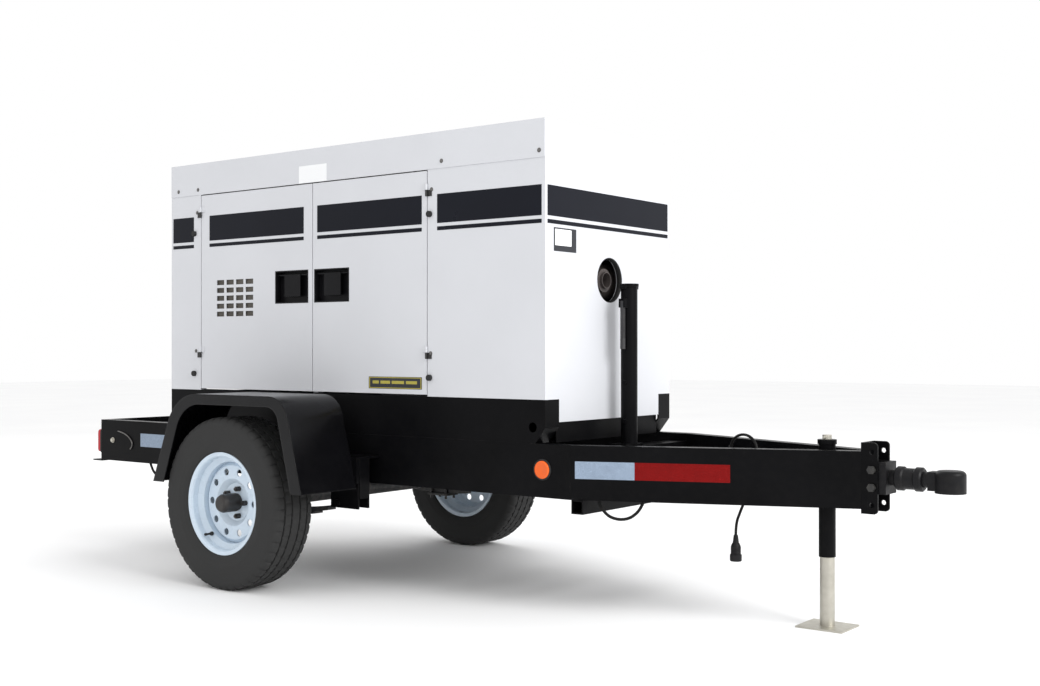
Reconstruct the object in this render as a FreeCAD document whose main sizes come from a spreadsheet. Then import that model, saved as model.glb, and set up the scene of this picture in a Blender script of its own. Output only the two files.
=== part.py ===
import FreeCAD, Part
import math
import os
from types import SimpleNamespace

import Sketcher
from FreeCAD import Placement, Rotation, Vector

# Towable diesel generator: a sheet-metal cabinet on a skid base, carried by a single-axle
# trailer with an A-frame tongue. +X points to the hitch, +Y to the vehicle's left, +Z up.
# The origin is the bottom centre of the whole trailer; z = 0 is the ground.
# Formulas are written from the axle (x = 0 there), and each placement adds the axle's own x.

SIZES = [
    # name, millimetres (or a count), what it is
    ("rear_reach", 1430, "axle to the rear edge of the rear lip"),
    ("rail_rear_x", -1358, "rear end of the main rails"),
    ("kink_x", 1420, "where main rails turn into tongue rails"),
    ("tip_x", 2345, "front end of the tongue rails"),
    ("tip_half", 55, "half width of the tongue at its tip"),
    ("tip_gap", 3, "half gap between the tongue rails at the tip"),
    ("rail_half", 436, "centre plane to a rail's outer face"),
    ("rail_width", 50, "width of a rail's tube"),
    ("rail_bottom", 423, "ground to a rail's underside"),
    ("rail_height", 194, "height of a rail"),
    ("rail_wall", 5, "wall of the rail tubes"),
    ("cross_width", 50, "crossmember width along X"),
    ("cross_height", 100, "crossmember height"),
    ("cross_drop", 20, "crossmember top below the rail top"),
    ("beam_width", 50, "cross beam under the kink, along X"),
    ("beam_height", 50, "cross beam height"),
    ("lip_wall", 6, "rear plate and lip thickness"),
    ("channel_length", 58, "hitch channel web back to flange edge"),
    ("channel_wall", 8, "hitch channel wall"),
    ("channel_bottom", 408, "hitch channel lower end"),
    ("channel_height", 239, "hitch channel height"),
    ("channel_hole_first", 30, "channel bottom to the lowest hole"),
    ("channel_hole_pitch", 59.3, "pitch of the channel holes"),
    ("channel_hole_radius", 8.5, "radius of the channel holes"),
    ("channel_hole_setback", 20, "flange edge to the row of holes"),
    ("ball_reach", 283, "hitch channel's web to the coupler ball's centre"),
    ("ball_z", 520, "ground to the coupler ball's centre"),
    ("socket_bore", 29.9, "radius of the ball socket"),
    ("socket_radius", 50, "outer radius of the ball socket"),
    ("socket_low", 490, "underside of the socket"),
    ("socket_high", 564, "top of the socket"),
    ("shank_radius", 26, "radius of the coupler shank"),
    ("shank_z", 529, "height of the coupler shank's axis"),
    ("tab_front", 70, "hitch channel web to the front of the tab"),
    ("tab_height", 108, "height of the coupler tab"),
    ("collar_radius", 40.5, "outer radius of the locking collar"),
    ("collar_length", 92, "length of the locking collar"),
    ("collar_reach", 104, "hitch channel's web to the collar's rear face"),
    ("jack_setback", 145, "hitch channel's web back to the jack's axis"),
    ("jack_radius", 29, "outer radius of the jack's outer tube"),
    ("jack_bottom", 243, "lower end of the jack's outer tube"),
    ("jack_top", 640, "upper end of the jack's outer tube"),
    ("leg_radius", 25.5, "outer radius of the jack leg"),
    ("leg_wall", 4, "wall of the jack leg"),
    ("leg_length", 389, "length of the jack leg above its foot"),
    ("foot_length", 170, "jack foot along X"),
    ("foot_width", 150, "jack foot along Y"),
    ("foot_wall", 6, "jack foot thickness"),
    ("crank_radius", 10, "radius of the jack's crank shaft"),
    ("crank_top", 664, "top of the jack's crank shaft"),
    ("post_x", 1391, "axle to the post's axis"),
    ("post_radius", 32, "outer radius of the post"),
    ("post_wall", 5, "wall of the post"),
    ("post_foot", 597, "height of the post's foot"),
    ("post_top", 1202, "height of the post's upper end"),
    ("tyre_radius", 344, "outer radius of a tyre"),
    ("tyre_width", 190, "section width of a tyre"),
    ("track_half", 745, "centre plane to a wheel's centre plane"),
    ("rim_flange", 205, "radius of a rim's flange"),
    ("rim_seat", 190, "radius of a rim's bead seat"),
    ("rim_well", 168, "radius of a rim's drop well"),
    ("rim_half", 83, "half width of a rim over its flanges"),
    ("rim_wall", 4, "wall of a rim"),
    ("disc_wall", 5, "wall of a wheel disc"),
    ("disc_rise", 20, "how far a disc's ring stands out from its hub face"),
    ("vent_circle", 126, "radius of the circle of vent holes"),
    ("vent_radius", 14, "radius of a vent hole"),
    ("vent_count", 10, "vent holes in a wheel disc"),
    ("lug_circle", 57.15, "radius of the lug circle"),
    ("lug_count", 5, "lug nuts on a wheel"),
    ("nut_radius", 11, "corner radius of a lug nut"),
    ("nut_height", 20, "height of a lug nut"),
    ("hub_radius", 34, "radius of the hub's pilot"),
    ("cap_radius", 37, "radius of the grease cap"),
    ("cap_reach", 92, "hub face to the end of the grease cap"),
    ("spindle_radius", 16, "radius of the axle spindle"),
    ("axle_radius", 38, "radius of the axle tube"),
    ("axle_half", 653, "half length of the axle tube"),
    ("running_gap", 0.05, "radial clearance of a shaft that turns"),
    ("body_gap", 0.3, "clearance between pieces that move apart"),
    ("spring_y", 520, "centre plane to a leaf spring"),
    ("spring_width", 45, "width of a leaf spring"),
    ("spring_eye_x", 375, "axle to a spring eye"),
    ("spring_eye_z", 352, "height of the spring eyes"),
    ("leaf_thick", 9, "thickness of one leaf"),
    ("eye_radius", 16, "outer radius of a spring eye"),
    ("eye_bolt_radius", 7, "radius of an eye bolt"),
    ("side_rail_out", 560, "centre plane to a suspension rail's outer face"),
    ("side_rail_half", 486, "half length of a suspension rail"),
    ("side_rail_bottom", 432, "underside of a suspension rail"),
    ("side_rail_height", 102, "height of a suspension rail"),
    ("hanger_wall", 8, "plate of the hangers and suspension rails"),
    ("hanger_bottom", 330, "lower edge of the spring hangers"),
    ("hanger_back", 335, "axle to a hanger's inner edge"),
    ("fender_in", 560, "centre plane to a fender's inner edge"),
    ("fender_out", 855, "centre plane to a fender's outer face"),
    ("fender_top", 779, "height of a fender's top"),
    ("fender_foot", 412, "height of a fender's lower ends"),
    ("fender_rear_foot_x", -400, "fender's rear lower corner"),
    ("fender_rear_top_x", -258, "fender's rear upper corner, before rounding"),
    ("fender_front_top_x", 388, "fender's front upper corner, before rounding"),
    ("fender_front_foot_x", 486, "fender's front lower corner"),
    ("fender_rear_round", 190, "rounding of the rear upper corner"),
    ("fender_front_round", 108, "rounding of the front upper corner"),
    ("fender_wall", 4, "wall of a fender"),
    ("fender_lip", 42, "depth of a fender's turned-down lip"),
    ("cab_rear", -823, "rear face of the cabinet"),
    ("cab_front", 1310, "front face of the cabinet"),
    ("cab_half", 436, "half width of the cabinet"),
    ("cab_bottom", 776, "lower edge of the cabinet panels"),
    ("cab_top", 1797, "top of the roof"),
    ("roof_skirt", 142, "depth of the roof's skirt"),
    ("sheet", 3, "sheet thickness of the cabinet"),
    ("door_gap", 4, "gap round the doors"),
    ("door_sill_gap", 7, "gap under the doors, which swing out over the fenders"),
    ("door_rear_x", -612, "rear edge of the rear side doors"),
    ("door_mid_x", 107, "where the two side doors meet"),
    ("door_front_x", 744, "front edge of the front side doors"),
    ("door_tray", 25, "depth of a door"),
    ("hinge_offset", 5.5, "hinge axis outside the cabinet's face"),
    ("knuckle_radius", 5, "radius of a hinge knuckle"),
    ("knuckle_length", 24, "length of a hinge knuckle"),
    ("hinge_low", 946, "height of the lower hinges"),
    ("hinge_high", 1576, "height of the upper hinges"),
    ("hinge_leaf", 24, "width of a hinge leaf"),
    ("latch_low", 1158, "lower edge of the latch recesses"),
    ("latch_high", 1288, "upper edge of the latch recesses"),
    ("latch_width", 194, "width of a latch recess"),
    ("latch_inset", 30, "door meeting edge to a latch recess"),
    ("latch_depth", 34, "depth of a latch recess"),
    ("grille_x", -505, "rear edge of the vent grille"),
    ("grille_z", 1104, "lower edge of the vent grille"),
    ("vent_wide", 50, "width of one vent"),
    ("vent_high", 22, "height of one vent"),
    ("vent_pitch_x", 64, "pitch of the vents along X"),
    ("vent_pitch_z", 35, "pitch of the vents along Z"),
    ("vent_columns", 4, "columns of vents"),
    ("vent_rows", 5, "rows of vents"),
    ("stop_radius", 12, "radius of a door stop"),
    ("stop_height", 11, "height of a door stop"),
    ("front_hole_y", -12, "centre of the round front opening"),
    ("front_hole_z", 1226, "height of the round front opening"),
    ("front_hole_radius", 87, "radius of the round front opening"),
    ("base_bottom", 617, "underside of the skid base"),
    ("sill_width", 87, "width of a base sill"),
    ("sill_wall", 6, "wall of a base sill"),
    ("base_beam_height", 75, "height of the base's cross beams"),
    ("base_cut", 45, "cut-off lower corners of the base, along X"),
    ("base_cut_rise", 58, "cut-off lower corners of the base, along Z"),
    ("tie_radius", 18.5, "radius of the tie-down holes"),
    ("tie_inset", 56, "cabinet end to a tie-down hole"),
    ("tie_z", 675, "height of the tie-down holes"),
    ("shaft_z", 1080, "height of the engine and generator axis"),
    ("mount_top", 830, "top of the rubber mounts"),
    ("mount_radius", 35, "radius of a rubber mount"),
    ("housing_radius", 205, "radius of the generator housing"),
    ("housing_wall", 25, "wall of the generator housing"),
    ("fan_radius", 230, "radius of the cooling fan"),
    ("fan_x", 905, "axle to the fan's mid plane"),
    ("fan_shaft", 15, "radius of the fan shaft"),
    ("fan_blades", 6, "blades of the cooling fan"),
    ("radiator_x", 985, "axle to the radiator's rear face"),
    ("radiator_depth", 60, "depth of the radiator core"),
    ("radiator_half", 300, "half width of the radiator"),
    ("radiator_bottom", 790, "underside of the radiator"),
    ("radiator_top", 1450, "top of the radiator"),
    ("muffler_x", 1165, "axle to the muffler's axis"),
    ("muffler_radius", 90, "radius of the muffler"),
    ("muffler_half", 300, "half length of the muffler"),
    ("pipe_radius", 32, "radius of the exhaust elbow"),
    ("window_half", 230, "half width of the openings in the rear panel"),
    ("window_low", 1160, "lower edge of the control window"),
    ("window_high", 1550, "upper edge of the control window"),
    ("outlet_low", 865, "lower edge of the terminal opening"),
    ("outlet_high", 1085, "upper edge of the terminal opening"),
    ("flap_lap", 12, "how far the rear covers lap over their openings"),
    ("panel_recess", 45, "rear face to the control box's face"),
    ("panel_depth", 110, "depth of the control box"),
    ("stud_radius", 6, "radius of an output stud"),
    ("stud_length", 28, "length of an output stud"),
    ("stud_pitch", 80, "pitch of the output studs"),
    ("tail_width", 100, "width of a tail lamp lens"),
    ("tail_height", 110, "height of a tail lamp lens"),
    ("tail_rim", 7, "width of the rubber frame round a tail lamp"),
    ("tail_depth", 44, "depth of a tail lamp"),
    ("tail_z", 513, "height of the tail lamps"),
    ("marker_x", 1299, "axle to the side marker lamps"),
    ("marker_z", 524, "height of the side marker lamps"),
    ("marker_radius", 32.5, "radius of a side marker lens"),
    ("marker_depth", 10, "depth of a side marker lens"),
    ("grommet_radius", 38.5, "radius of a side marker's grommet"),
    ("lead_radius", 5, "radius of the trailer lead"),
    ("gland_radius", 12, "radius of the gland that the lead leaves"),
    ("gland_height", 22, "height of that gland"),
    ("loop_radius", 5.5, "radius of the harness"),
    ("plug_radius", 21, "radius of the trailer plug"),
    ("plug_length", 92, "length of the trailer plug"),
    ("tongue_cross_x", 1832, "axle to the crossmember in the tongue"),
    ("tongue_cross_top", 578, "top of the crossmember in the tongue"),
]

doc = FreeCAD.newDocument("towable_generator")
sheet = doc.addObject("Spreadsheet::Sheet", "Sizes")


class Size:
    """A length that carries both its value and its formula on the sheet."""

    def __init__(self, value, text):
        self.value = float(value)
        self.text = text

    def _join(self, other, sign, value):
        return Size(value, "(" + self.text + " " + sign + " " + other.text + ")")

    def __add__(self, other):
        other = as_size(other)
        return self._join(other, "+", self.value + other.value)

    def __sub__(self, other):
        other = as_size(other)
        return self._join(other, "-", self.value - other.value)

    def __mul__(self, other):
        other = as_size(other)
        return self._join(other, "*", self.value * other.value)

    def __truediv__(self, other):
        other = as_size(other)
        return self._join(other, "/", self.value / other.value)

    def __radd__(self, other):
        return as_size(other) + self

    def __rsub__(self, other):
        return as_size(other) - self

    def __rmul__(self, other):
        return as_size(other) * self

    def __neg__(self):
        return as_size(0) - self


def as_size(value):
    """Wrap a plain number, so that it can join a formula."""
    if isinstance(value, Size):
        return value
    return Size(value, repr(float(value)))


def fill_sheet():
    """Write the driving dimensions to the sheet and return them by name."""
    names = {}
    for row, (name, value, note) in enumerate(SIZES, start=1):
        sheet.set("A%d" % row, name)
        sheet.set("B%d" % row, str(value))
        sheet.set("C%d" % row, note)
        sheet.setAlias("B%d" % row, name)
        names[name] = Size(value, "Sizes." + name)
    doc.recompute()
    return SimpleNamespace(**names)


s = fill_sheet()

# Places that several pieces share.
BALL_X = s.tip_x + s.ball_reach
COLLAR_BACK = s.tip_x + s.collar_reach
JACK_X = s.tip_x - s.jack_setback
AXLE_X = (s.rear_reach - (BALL_X + s.socket_radius)) / 2
RAIL_TOP = s.rail_bottom + s.rail_height
RAIL_IN = s.rail_half - s.rail_width
WHEEL_Z = s.tyre_radius
SILL_TOP = s.cab_bottom
DOOR_TOP = s.cab_top - s.roof_skirt
CHANNEL_WEB = s.tip_x
CHANNEL_FRONT = s.tip_x + s.channel_length
HOLE_X = CHANNEL_FRONT - s.channel_hole_setback
LEG_BORE = s.leg_radius + s.running_gap
PANEL_FACE = s.cab_rear + s.panel_recess
HINGE_Y = -(s.cab_half + s.hinge_offset)
NODES = {}


def node(label, piece):
    """Name a finished sub-part; its label names its file."""
    piece.Label = label
    NODES[label] = piece
    return piece


def bind(piece, prop, size):
    """Tie one property of a piece to the sheet."""
    piece.setExpression(prop, as_size(size).text)


def place(piece, x, y, z):
    """Put a piece's origin at a point that is given from the axle."""
    bind(piece, "Placement.Base.x", AXLE_X + x)
    bind(piece, "Placement.Base.y", y)
    bind(piece, "Placement.Base.z", z)


def box(x, y, z):
    """A block from its low and high limits along each axis."""
    piece = doc.addObject("Part::Box", "Block")
    for prop, span in (("Length", x), ("Width", y), ("Height", z)):
        bind(piece, prop, as_size(span[1]) - span[0])
    place(piece, x[0], y[0], z[0])
    return piece


TURNS = {
    "x": Rotation(Vector(0, 1, 0), 90),
    "y": Rotation(Vector(1, 0, 0), -90),
    "z": Rotation(),
}


def rod(axis, start, radius, length):
    """A cylinder that runs from its start point in the direction of an axis."""
    piece = doc.addObject("Part::Cylinder", "Rod")
    piece.Placement = Placement(Vector(), TURNS[axis])
    bind(piece, "Radius", radius)
    bind(piece, "Height", length)
    place(piece, *start)
    return piece


def ring(axis, start, outer, inner, length):
    """A round tube that runs from its start point in the direction of an axis."""
    return cut(rod(axis, start, outer, length), rod(axis, start, inner, length))


def hexagon(axis, start, radius, length):
    """A hexagonal prism, such as a nut or a bolt head."""
    piece = doc.addObject("Part::Prism", "Hexagon")
    piece.Placement = Placement(Vector(), TURNS[axis])
    piece.Polygon = 6
    bind(piece, "Circumradius", radius)
    bind(piece, "Height", length)
    place(piece, *start)
    return piece


def ball(centre, radius):
    """A sphere about its centre."""
    piece = doc.addObject("Part::Sphere", "Ball")
    bind(piece, "Radius", radius)
    place(piece, *centre)
    return piece


def group(*pieces):
    """Several separate solids as one sub-part."""
    piece = doc.addObject("Part::Compound", "Group")
    piece.Links = list(pieces)
    return piece


def fuse(*pieces):
    """Several pieces welded or cast as one."""
    piece = doc.addObject("Part::MultiFuse", "Joined")
    piece.Shapes = list(pieces)
    piece.Refine = True
    return piece


def cut(base, *tools):
    """A piece with the space of the tools taken out."""
    piece = doc.addObject("Part::Cut", "Cut")
    piece.Base = base
    piece.Tool = tools[0] if len(tools) == 1 else fuse(*tools)
    return piece


def mirror(piece):
    """The same piece on the other side of the centre plane."""
    copy = doc.addObject("Part::Mirroring", "Mirrored")
    copy.Source = piece
    copy.Normal = Vector(0, 1, 0)
    return copy


def both(piece):
    """A piece and its mirror image as separate solids."""
    return group(piece, mirror(piece))


def hollow_box(x, y, z, wall, open_axis):
    """A rectangular tube that is open along one axis."""
    inner = []
    for axis, span in (("x", x), ("y", y), ("z", z)):
        reach = 1 if axis == open_axis else -wall
        inner.append((span[0] - reach, span[1] + reach))
    return cut(box(x, y, z), box(*inner))


PLANES = {"xy": "XY_Plane", "xz": "XZ_Plane", "yz": "YZ_Plane"}
TOWARDS = {"xy": 1, "xz": -1, "yz": 1}


def new_body(x=0, y=0, z=0):
    """An empty body whose origin is given from the axle."""
    body = doc.addObject("PartDesign::Body", "Body")
    place(body, x, y, z)
    return body


def new_sketch(body, plane, level):
    """A sketch on one of a body's own planes, moved along the normal."""
    sketch = body.newObject("Sketcher::SketchObject", "Outline")
    for face in body.Origin.OriginFeatures:
        if face.Role == PLANES[plane]:
            sketch.AttachmentSupport = [(face, "")]
    sketch.MapMode = "FlatFace"
    bind(sketch, "AttachmentOffset.Base.z", level)
    return sketch


def fix_distance(sketch, kind, where, size):
    """Hold one point's distance from the sketch's origin to the sheet."""
    size = as_size(size)
    index = sketch.addConstraint(Sketcher.Constraint(kind, -1, 1, where[0], where[1], size.value))
    bind(sketch, "Constraints[%d]" % index, size)


def add_outline(sketch, points):
    """A closed outline of straight lines with every corner held to the sheet."""
    first = sketch.GeometryCount
    count = len(points)
    corners = [Vector(as_size(u).value, as_size(v).value, 0) for u, v in points]
    for index in range(count):
        sketch.addGeometry(Part.LineSegment(corners[index], corners[(index + 1) % count]))
    for index in range(count):
        after = first + (index + 1) % count
        sketch.addConstraint(Sketcher.Constraint("Coincident", first + index, 2, after, 1))
    for index, (u, v) in enumerate(points):
        fix_distance(sketch, "DistanceX", (first + index, 1), u)
        fix_distance(sketch, "DistanceY", (first + index, 1), v)


def add_circle(sketch, u, v, radius):
    """A circle whose centre and radius are held to the sheet."""
    centre = Vector(as_size(u).value, as_size(v).value, 0)
    index = sketch.addGeometry(Part.Circle(centre, Vector(0, 0, 1), as_size(radius).value))
    fix_distance(sketch, "DistanceX", (index, 3), u)
    fix_distance(sketch, "DistanceY", (index, 3), v)
    value = as_size(radius).value
    held = sketch.addConstraint(Sketcher.Constraint("Radius", index, value))
    bind(sketch, "Constraints[%d]" % held, radius)


def rectangle(u, v):
    """The corners of a rectangle from its limits."""
    return [(u[0], v[0]), (u[1], v[0]), (u[1], v[1]), (u[0], v[1])]


def pad(body, plane, low, high, outlines=(), circles=()):
    """Material between two levels on a plane's normal axis."""
    level = low if TOWARDS[plane] > 0 else -as_size(high)
    return sweep_feature(body, "PartDesign::Pad", plane, level, low, high, outlines, circles)


def pocket(body, plane, low, high, outlines=(), circles=()):
    """Material taken out between two levels on a plane's normal axis."""
    level = high if TOWARDS[plane] > 0 else -as_size(low)
    return sweep_feature(body, "PartDesign::Pocket", plane, level, low, high, outlines, circles)


def sweep_feature(body, kind, plane, level, low, high, outlines, circles):
    """A pad or a pocket of the given outlines and circles."""
    sketch = new_sketch(body, plane, level)
    for points in outlines:
        add_outline(sketch, points)
    for u, v, radius in circles:
        add_circle(sketch, u, v, radius)
    feature = body.newObject(kind, kind.split("::")[1])
    feature.Profile = sketch
    bind(feature, "Length", as_size(high) - low)
    return feature


def revolve(body, plane, points, axis="V_Axis"):
    """Material turned a full circle about a sketch axis."""
    sketch = new_sketch(body, plane, 0)
    add_outline(sketch, points)
    feature = body.newObject("PartDesign::Revolution", "Revolution")
    feature.Profile = sketch
    feature.ReferenceAxis = (sketch, [axis])
    feature.Angle = 360
    return feature


def ring_pattern(body, feature, axis_role, count):
    """A feature repeated evenly round one of the body's axes."""
    pattern = body.newObject("PartDesign::PolarPattern", "Pattern")
    pattern.Originals = [feature]
    for line in body.Origin.OriginFeatures:
        if line.Role == axis_role:
            pattern.Axis = (line, [""])
    pattern.Angle = 360
    bind(pattern, "Occurrences", count)
    body.Tip = pattern
    return pattern


def round_edges(body, radius, wanted):
    """Round the edges of a body that a test picks by their middle point."""
    doc.recompute()
    base = body.Tip
    names = []
    for index, edge in enumerate(base.Shape.Edges, start=1):
        middle = edge.valueAt((edge.FirstParameter + edge.LastParameter) / 2)
        if wanted(edge, middle):
            names.append("Edge%d" % index)
    fillet = body.newObject("PartDesign::Fillet", "Fillet")
    fillet.Base = (base, names)
    bind(fillet, "Radius", radius)
    return fillet


def along(edge, direction):
    """Whether an edge is straight and runs along a direction."""
    if edge.Curve.TypeId != "Part::GeomLine":
        return False
    return abs(edge.tangentAt(edge.FirstParameter).dot(direction)) > 0.999


def near(value, target, slack=0.6):
    """Whether two lengths agree within a small slack."""
    return abs(value - as_size(target).value) < slack


# ---------------------------------------------------------------- trailer frame


def build_frame_rails():
    """Two straight box tubes under the cabinet."""
    heights = (s.rail_bottom, RAIL_TOP)
    rail = hollow_box((s.rail_rear_x, s.kink_x), (-s.rail_half, -RAIL_IN), heights, s.rail_wall, "x")
    node("frame_rails", both(rail))


def tongue_corners(inset):
    """Plan outline of a tongue rail, drawn in by a wall where asked."""
    reach = inset * 0.2
    return [
        (s.kink_x - reach, -s.rail_half + inset),
        (s.tip_x + reach, -s.tip_half + inset),
        (s.tip_x + reach, -s.tip_gap - inset),
        (s.kink_x - reach, -RAIL_IN - inset),
    ]


def build_tongue_rails():
    """Two box tubes that meet at the hitch channel."""
    body = new_body()
    pad(body, "xy", s.rail_bottom, RAIL_TOP, [tongue_corners(as_size(0))])
    wall = s.rail_wall
    pocket(body, "xy", s.rail_bottom + wall, RAIL_TOP - wall, [tongue_corners(wall)])
    node("tongue_rails", both(body))


def cross_tube(x, half, low, high):
    """One crossmember tube, open at both ends."""
    return hollow_box((x, x + s.cross_width), (-half, half), (low, high), s.rail_wall, "y")


def build_crossmembers():
    """Tubes between the rails, the post's beam, the rear plate with its lip, and the lead's gland."""
    high = RAIL_TOP - s.cross_drop
    low = high - s.cross_height
    spread = s.kink_x - s.rail_rear_x
    shares = (0.06, 0.26, 0.5, 0.74)
    tubes = [cross_tube(s.rail_rear_x + spread * share, RAIL_IN, low, high) for share in shares]
    post_beam = (s.post_x - 51, s.kink_x - 0.5)
    tubes.append(hollow_box(post_beam, (-RAIL_IN, RAIL_IN), (low, high - 10), s.rail_wall, "y"))
    slope = (s.rail_half - s.tip_half) / (s.tip_x - s.kink_x)
    inner = RAIL_IN - slope * (s.tongue_cross_x + s.cross_width - s.kink_x) - 4
    top = s.tongue_cross_top
    tubes.append(cross_tube(s.tongue_cross_x, inner, top - s.cross_height, top))
    rear = s.rail_rear_x
    plate = box((rear - s.lip_wall, rear), (-s.rail_half, s.rail_half), (s.rail_bottom, RAIL_TOP))
    lip = box((-s.rear_reach, rear), (-s.rail_half, s.rail_half), (s.rail_bottom - s.lip_wall, s.rail_bottom))
    tubes.append(fuse(plate, lip))
    bore = s.lead_radius + 0.05
    tubes.append(ring("z", LEAD_ROUTE[0], s.gland_radius, bore, s.gland_height))
    node("crossmembers", group(*tubes))


def build_tongue_crossbeam():
    """A square tube across the underside of the frame just ahead of the kink."""
    low = s.rail_bottom - s.beam_height
    half = s.rail_half - 8
    reach = (s.kink_x, s.kink_x + s.beam_width)
    beam = hollow_box(reach, (-half, half), (low, s.rail_bottom), s.rail_wall, "y")
    node("tongue_crossbeam", beam)


def build_hitch_channel():
    """An upright channel with a column of holes through both flanges."""
    body = new_body()
    low = s.channel_bottom
    high = s.channel_bottom + s.channel_height
    inner = s.tip_half - s.channel_wall
    web = CHANNEL_WEB + s.channel_wall
    outline = [
        (CHANNEL_WEB, -s.tip_half),
        (CHANNEL_FRONT, -s.tip_half),
        (CHANNEL_FRONT, -inner),
        (web, -inner),
        (web, inner),
        (CHANNEL_FRONT, inner),
        (CHANNEL_FRONT, s.tip_half),
        (CHANNEL_WEB, s.tip_half),
    ]
    pad(body, "xy", low, high, [outline])
    first = s.channel_bottom + s.channel_hole_first
    holes = [(HOLE_X, first + s.channel_hole_pitch * row, s.channel_hole_radius) for row in range(4)]
    pocket(body, "xz", -s.tip_half - 1, s.tip_half + 1, circles=holes)
    front = CHANNEL_FRONT.value
    corners = Vector(0, 1, 0)
    round_edges(body, 14, lambda edge, point: along(edge, corners) and near(point.x, front))
    node("hitch_channel", body)


def channel_hole_z(row):
    """Height of one of the channel's holes, counted from the lowest."""
    return s.channel_bottom + s.channel_hole_first + s.channel_hole_pitch * row


def build_hitch_bolts():
    """Two bolts with nuts that hold the coupler's tab between the flanges."""
    pieces = []
    out = s.tip_half
    shank = s.channel_hole_radius - 0.5
    for row in (1, 2):
        z = channel_hole_z(row)
        pin = rod("y", (HOLE_X, -out - 1, z), shank, out * 2 + 18)
        head = hexagon("y", (HOLE_X, -out - 11, z), 15, 11)
        pieces.append(fuse(pin, head))
        nut = hexagon("y", (HOLE_X, out, z), 15, 13)
        bore = rod("y", (HOLE_X, out - 1, z), shank, 15)
        pieces.append(cut(nut, bore))
    node("hitch_bolts", group(*pieces))


def build_coupler_body():
    """A casting: bolted tab, round shank and a ball socket that is open below."""
    half = s.tip_half - s.channel_wall - s.body_gap
    front = CHANNEL_WEB + s.tab_front + 13
    low = s.shank_z - s.tab_height / 2
    tab = box((CHANNEL_WEB + s.channel_wall + 2, front), (-half, half), (low, low + s.tab_height))
    relief = box((CHANNEL_WEB, front - 16), (-half + 12, half - 12), (low - 1, low + s.tab_height + 1))
    shank = rod("x", (front - 5, 0, s.shank_z), s.shank_radius, BALL_X - front)
    dome = rod("z", (BALL_X, 0, s.socket_low), s.socket_radius, s.socket_high - s.socket_low)
    neck = box((BALL_X - s.socket_radius - 18, BALL_X), (-s.shank_radius, s.shank_radius),
               (s.socket_low + 6, s.socket_high - 6))
    cup = ball((BALL_X, 0, s.ball_z), s.socket_bore)
    mouth = rod("z", (BALL_X, 0, s.socket_low - 1), s.socket_bore, s.ball_z - s.socket_low + 1)
    tools = [relief, cup, mouth]
    for row in (1, 2):
        start = (HOLE_X, -half - 1, channel_hole_z(row))
        tools.append(rod("y", start, s.channel_hole_radius - 0.5, half * 2 + 2))
    rounded = doc.addObject("Part::Fillet", "Rounded")
    rounded.Base = dome
    doc.recompute()
    top = [i for i, e in enumerate(dome.Shape.Edges, start=1) if near(e.CenterOfMass.z, s.socket_high)]
    rounded.Edges = [(i, 16.0, 16.0) for i in top]
    node("coupler_body", cut(fuse(tab, shank, neck, rounded), *tools))


def build_coupler_collar():
    """A sliding collar that locks the coupler."""
    body = new_body(COLLAR_BACK, 0, s.shank_z)
    bore = s.shank_radius + s.running_gap
    out = s.collar_radius
    length = s.collar_length
    points = [
        (bore, 0), (out - 5, 0), (out, 5), (out, 24), (out - 5, 29), (out - 5, length - 29),
        (out, length - 24), (out, length - 5), (out - 5, length), (bore, length),
    ]
    revolve(body, "xy", [(v, u) for u, v in points], "H_Axis")
    node("coupler_collar", body)


def build_jack():
    """A top-wind jack: outer tube welded between the tongue rails, leg with foot, crank shaft."""
    tube = rod("z", (JACK_X, 0, s.jack_bottom), s.jack_radius, s.jack_top - s.jack_bottom)
    cap = rod("z", (JACK_X, 0, s.jack_top - 8), s.jack_radius + 4, 16)
    slope = (RAIL_IN - s.tip_gap) / (s.tip_x - s.kink_x)
    half = s.tip_gap + slope * (s.tip_x - JACK_X - 45) - 0.4
    plates = []
    for low in (s.rail_bottom + 12, RAIL_TOP - 20):
        plates.append(box((JACK_X - 45, JACK_X + 45), (-half, half), (low, low + 8)))
    bore = rod("z", (JACK_X, 0, s.jack_bottom - 1), LEG_BORE, s.jack_top - 7 - s.jack_bottom)
    socket = rod("z", (JACK_X, 0, s.jack_top - 20), s.crank_radius + s.running_gap, 40)
    node("jack_outer_tube", cut(fuse(tube, cap, *plates), bore, socket))
    foot = box((JACK_X - s.foot_length / 2, JACK_X + s.foot_length / 2),
               (-s.foot_width / 2, s.foot_width / 2), (0, s.foot_wall))
    leg = ring("z", (JACK_X, 0, s.foot_wall - 1), s.leg_radius, s.leg_radius - s.leg_wall, s.leg_length + 1)
    node("jack_leg", fuse(foot, leg))
    shaft = rod("z", (JACK_X, 0, s.jack_top - 9), s.crank_radius, s.crank_top - s.jack_top + 5)
    top = s.jack_top + 8 + s.body_gap
    head = rod("z", (JACK_X, 0, top), s.crank_radius + 6, s.crank_top - top)
    pin = rod("y", (JACK_X, -28, s.crank_top - 8), 4, 56)
    node("jack_shaft", fuse(shaft, head, pin))


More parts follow.
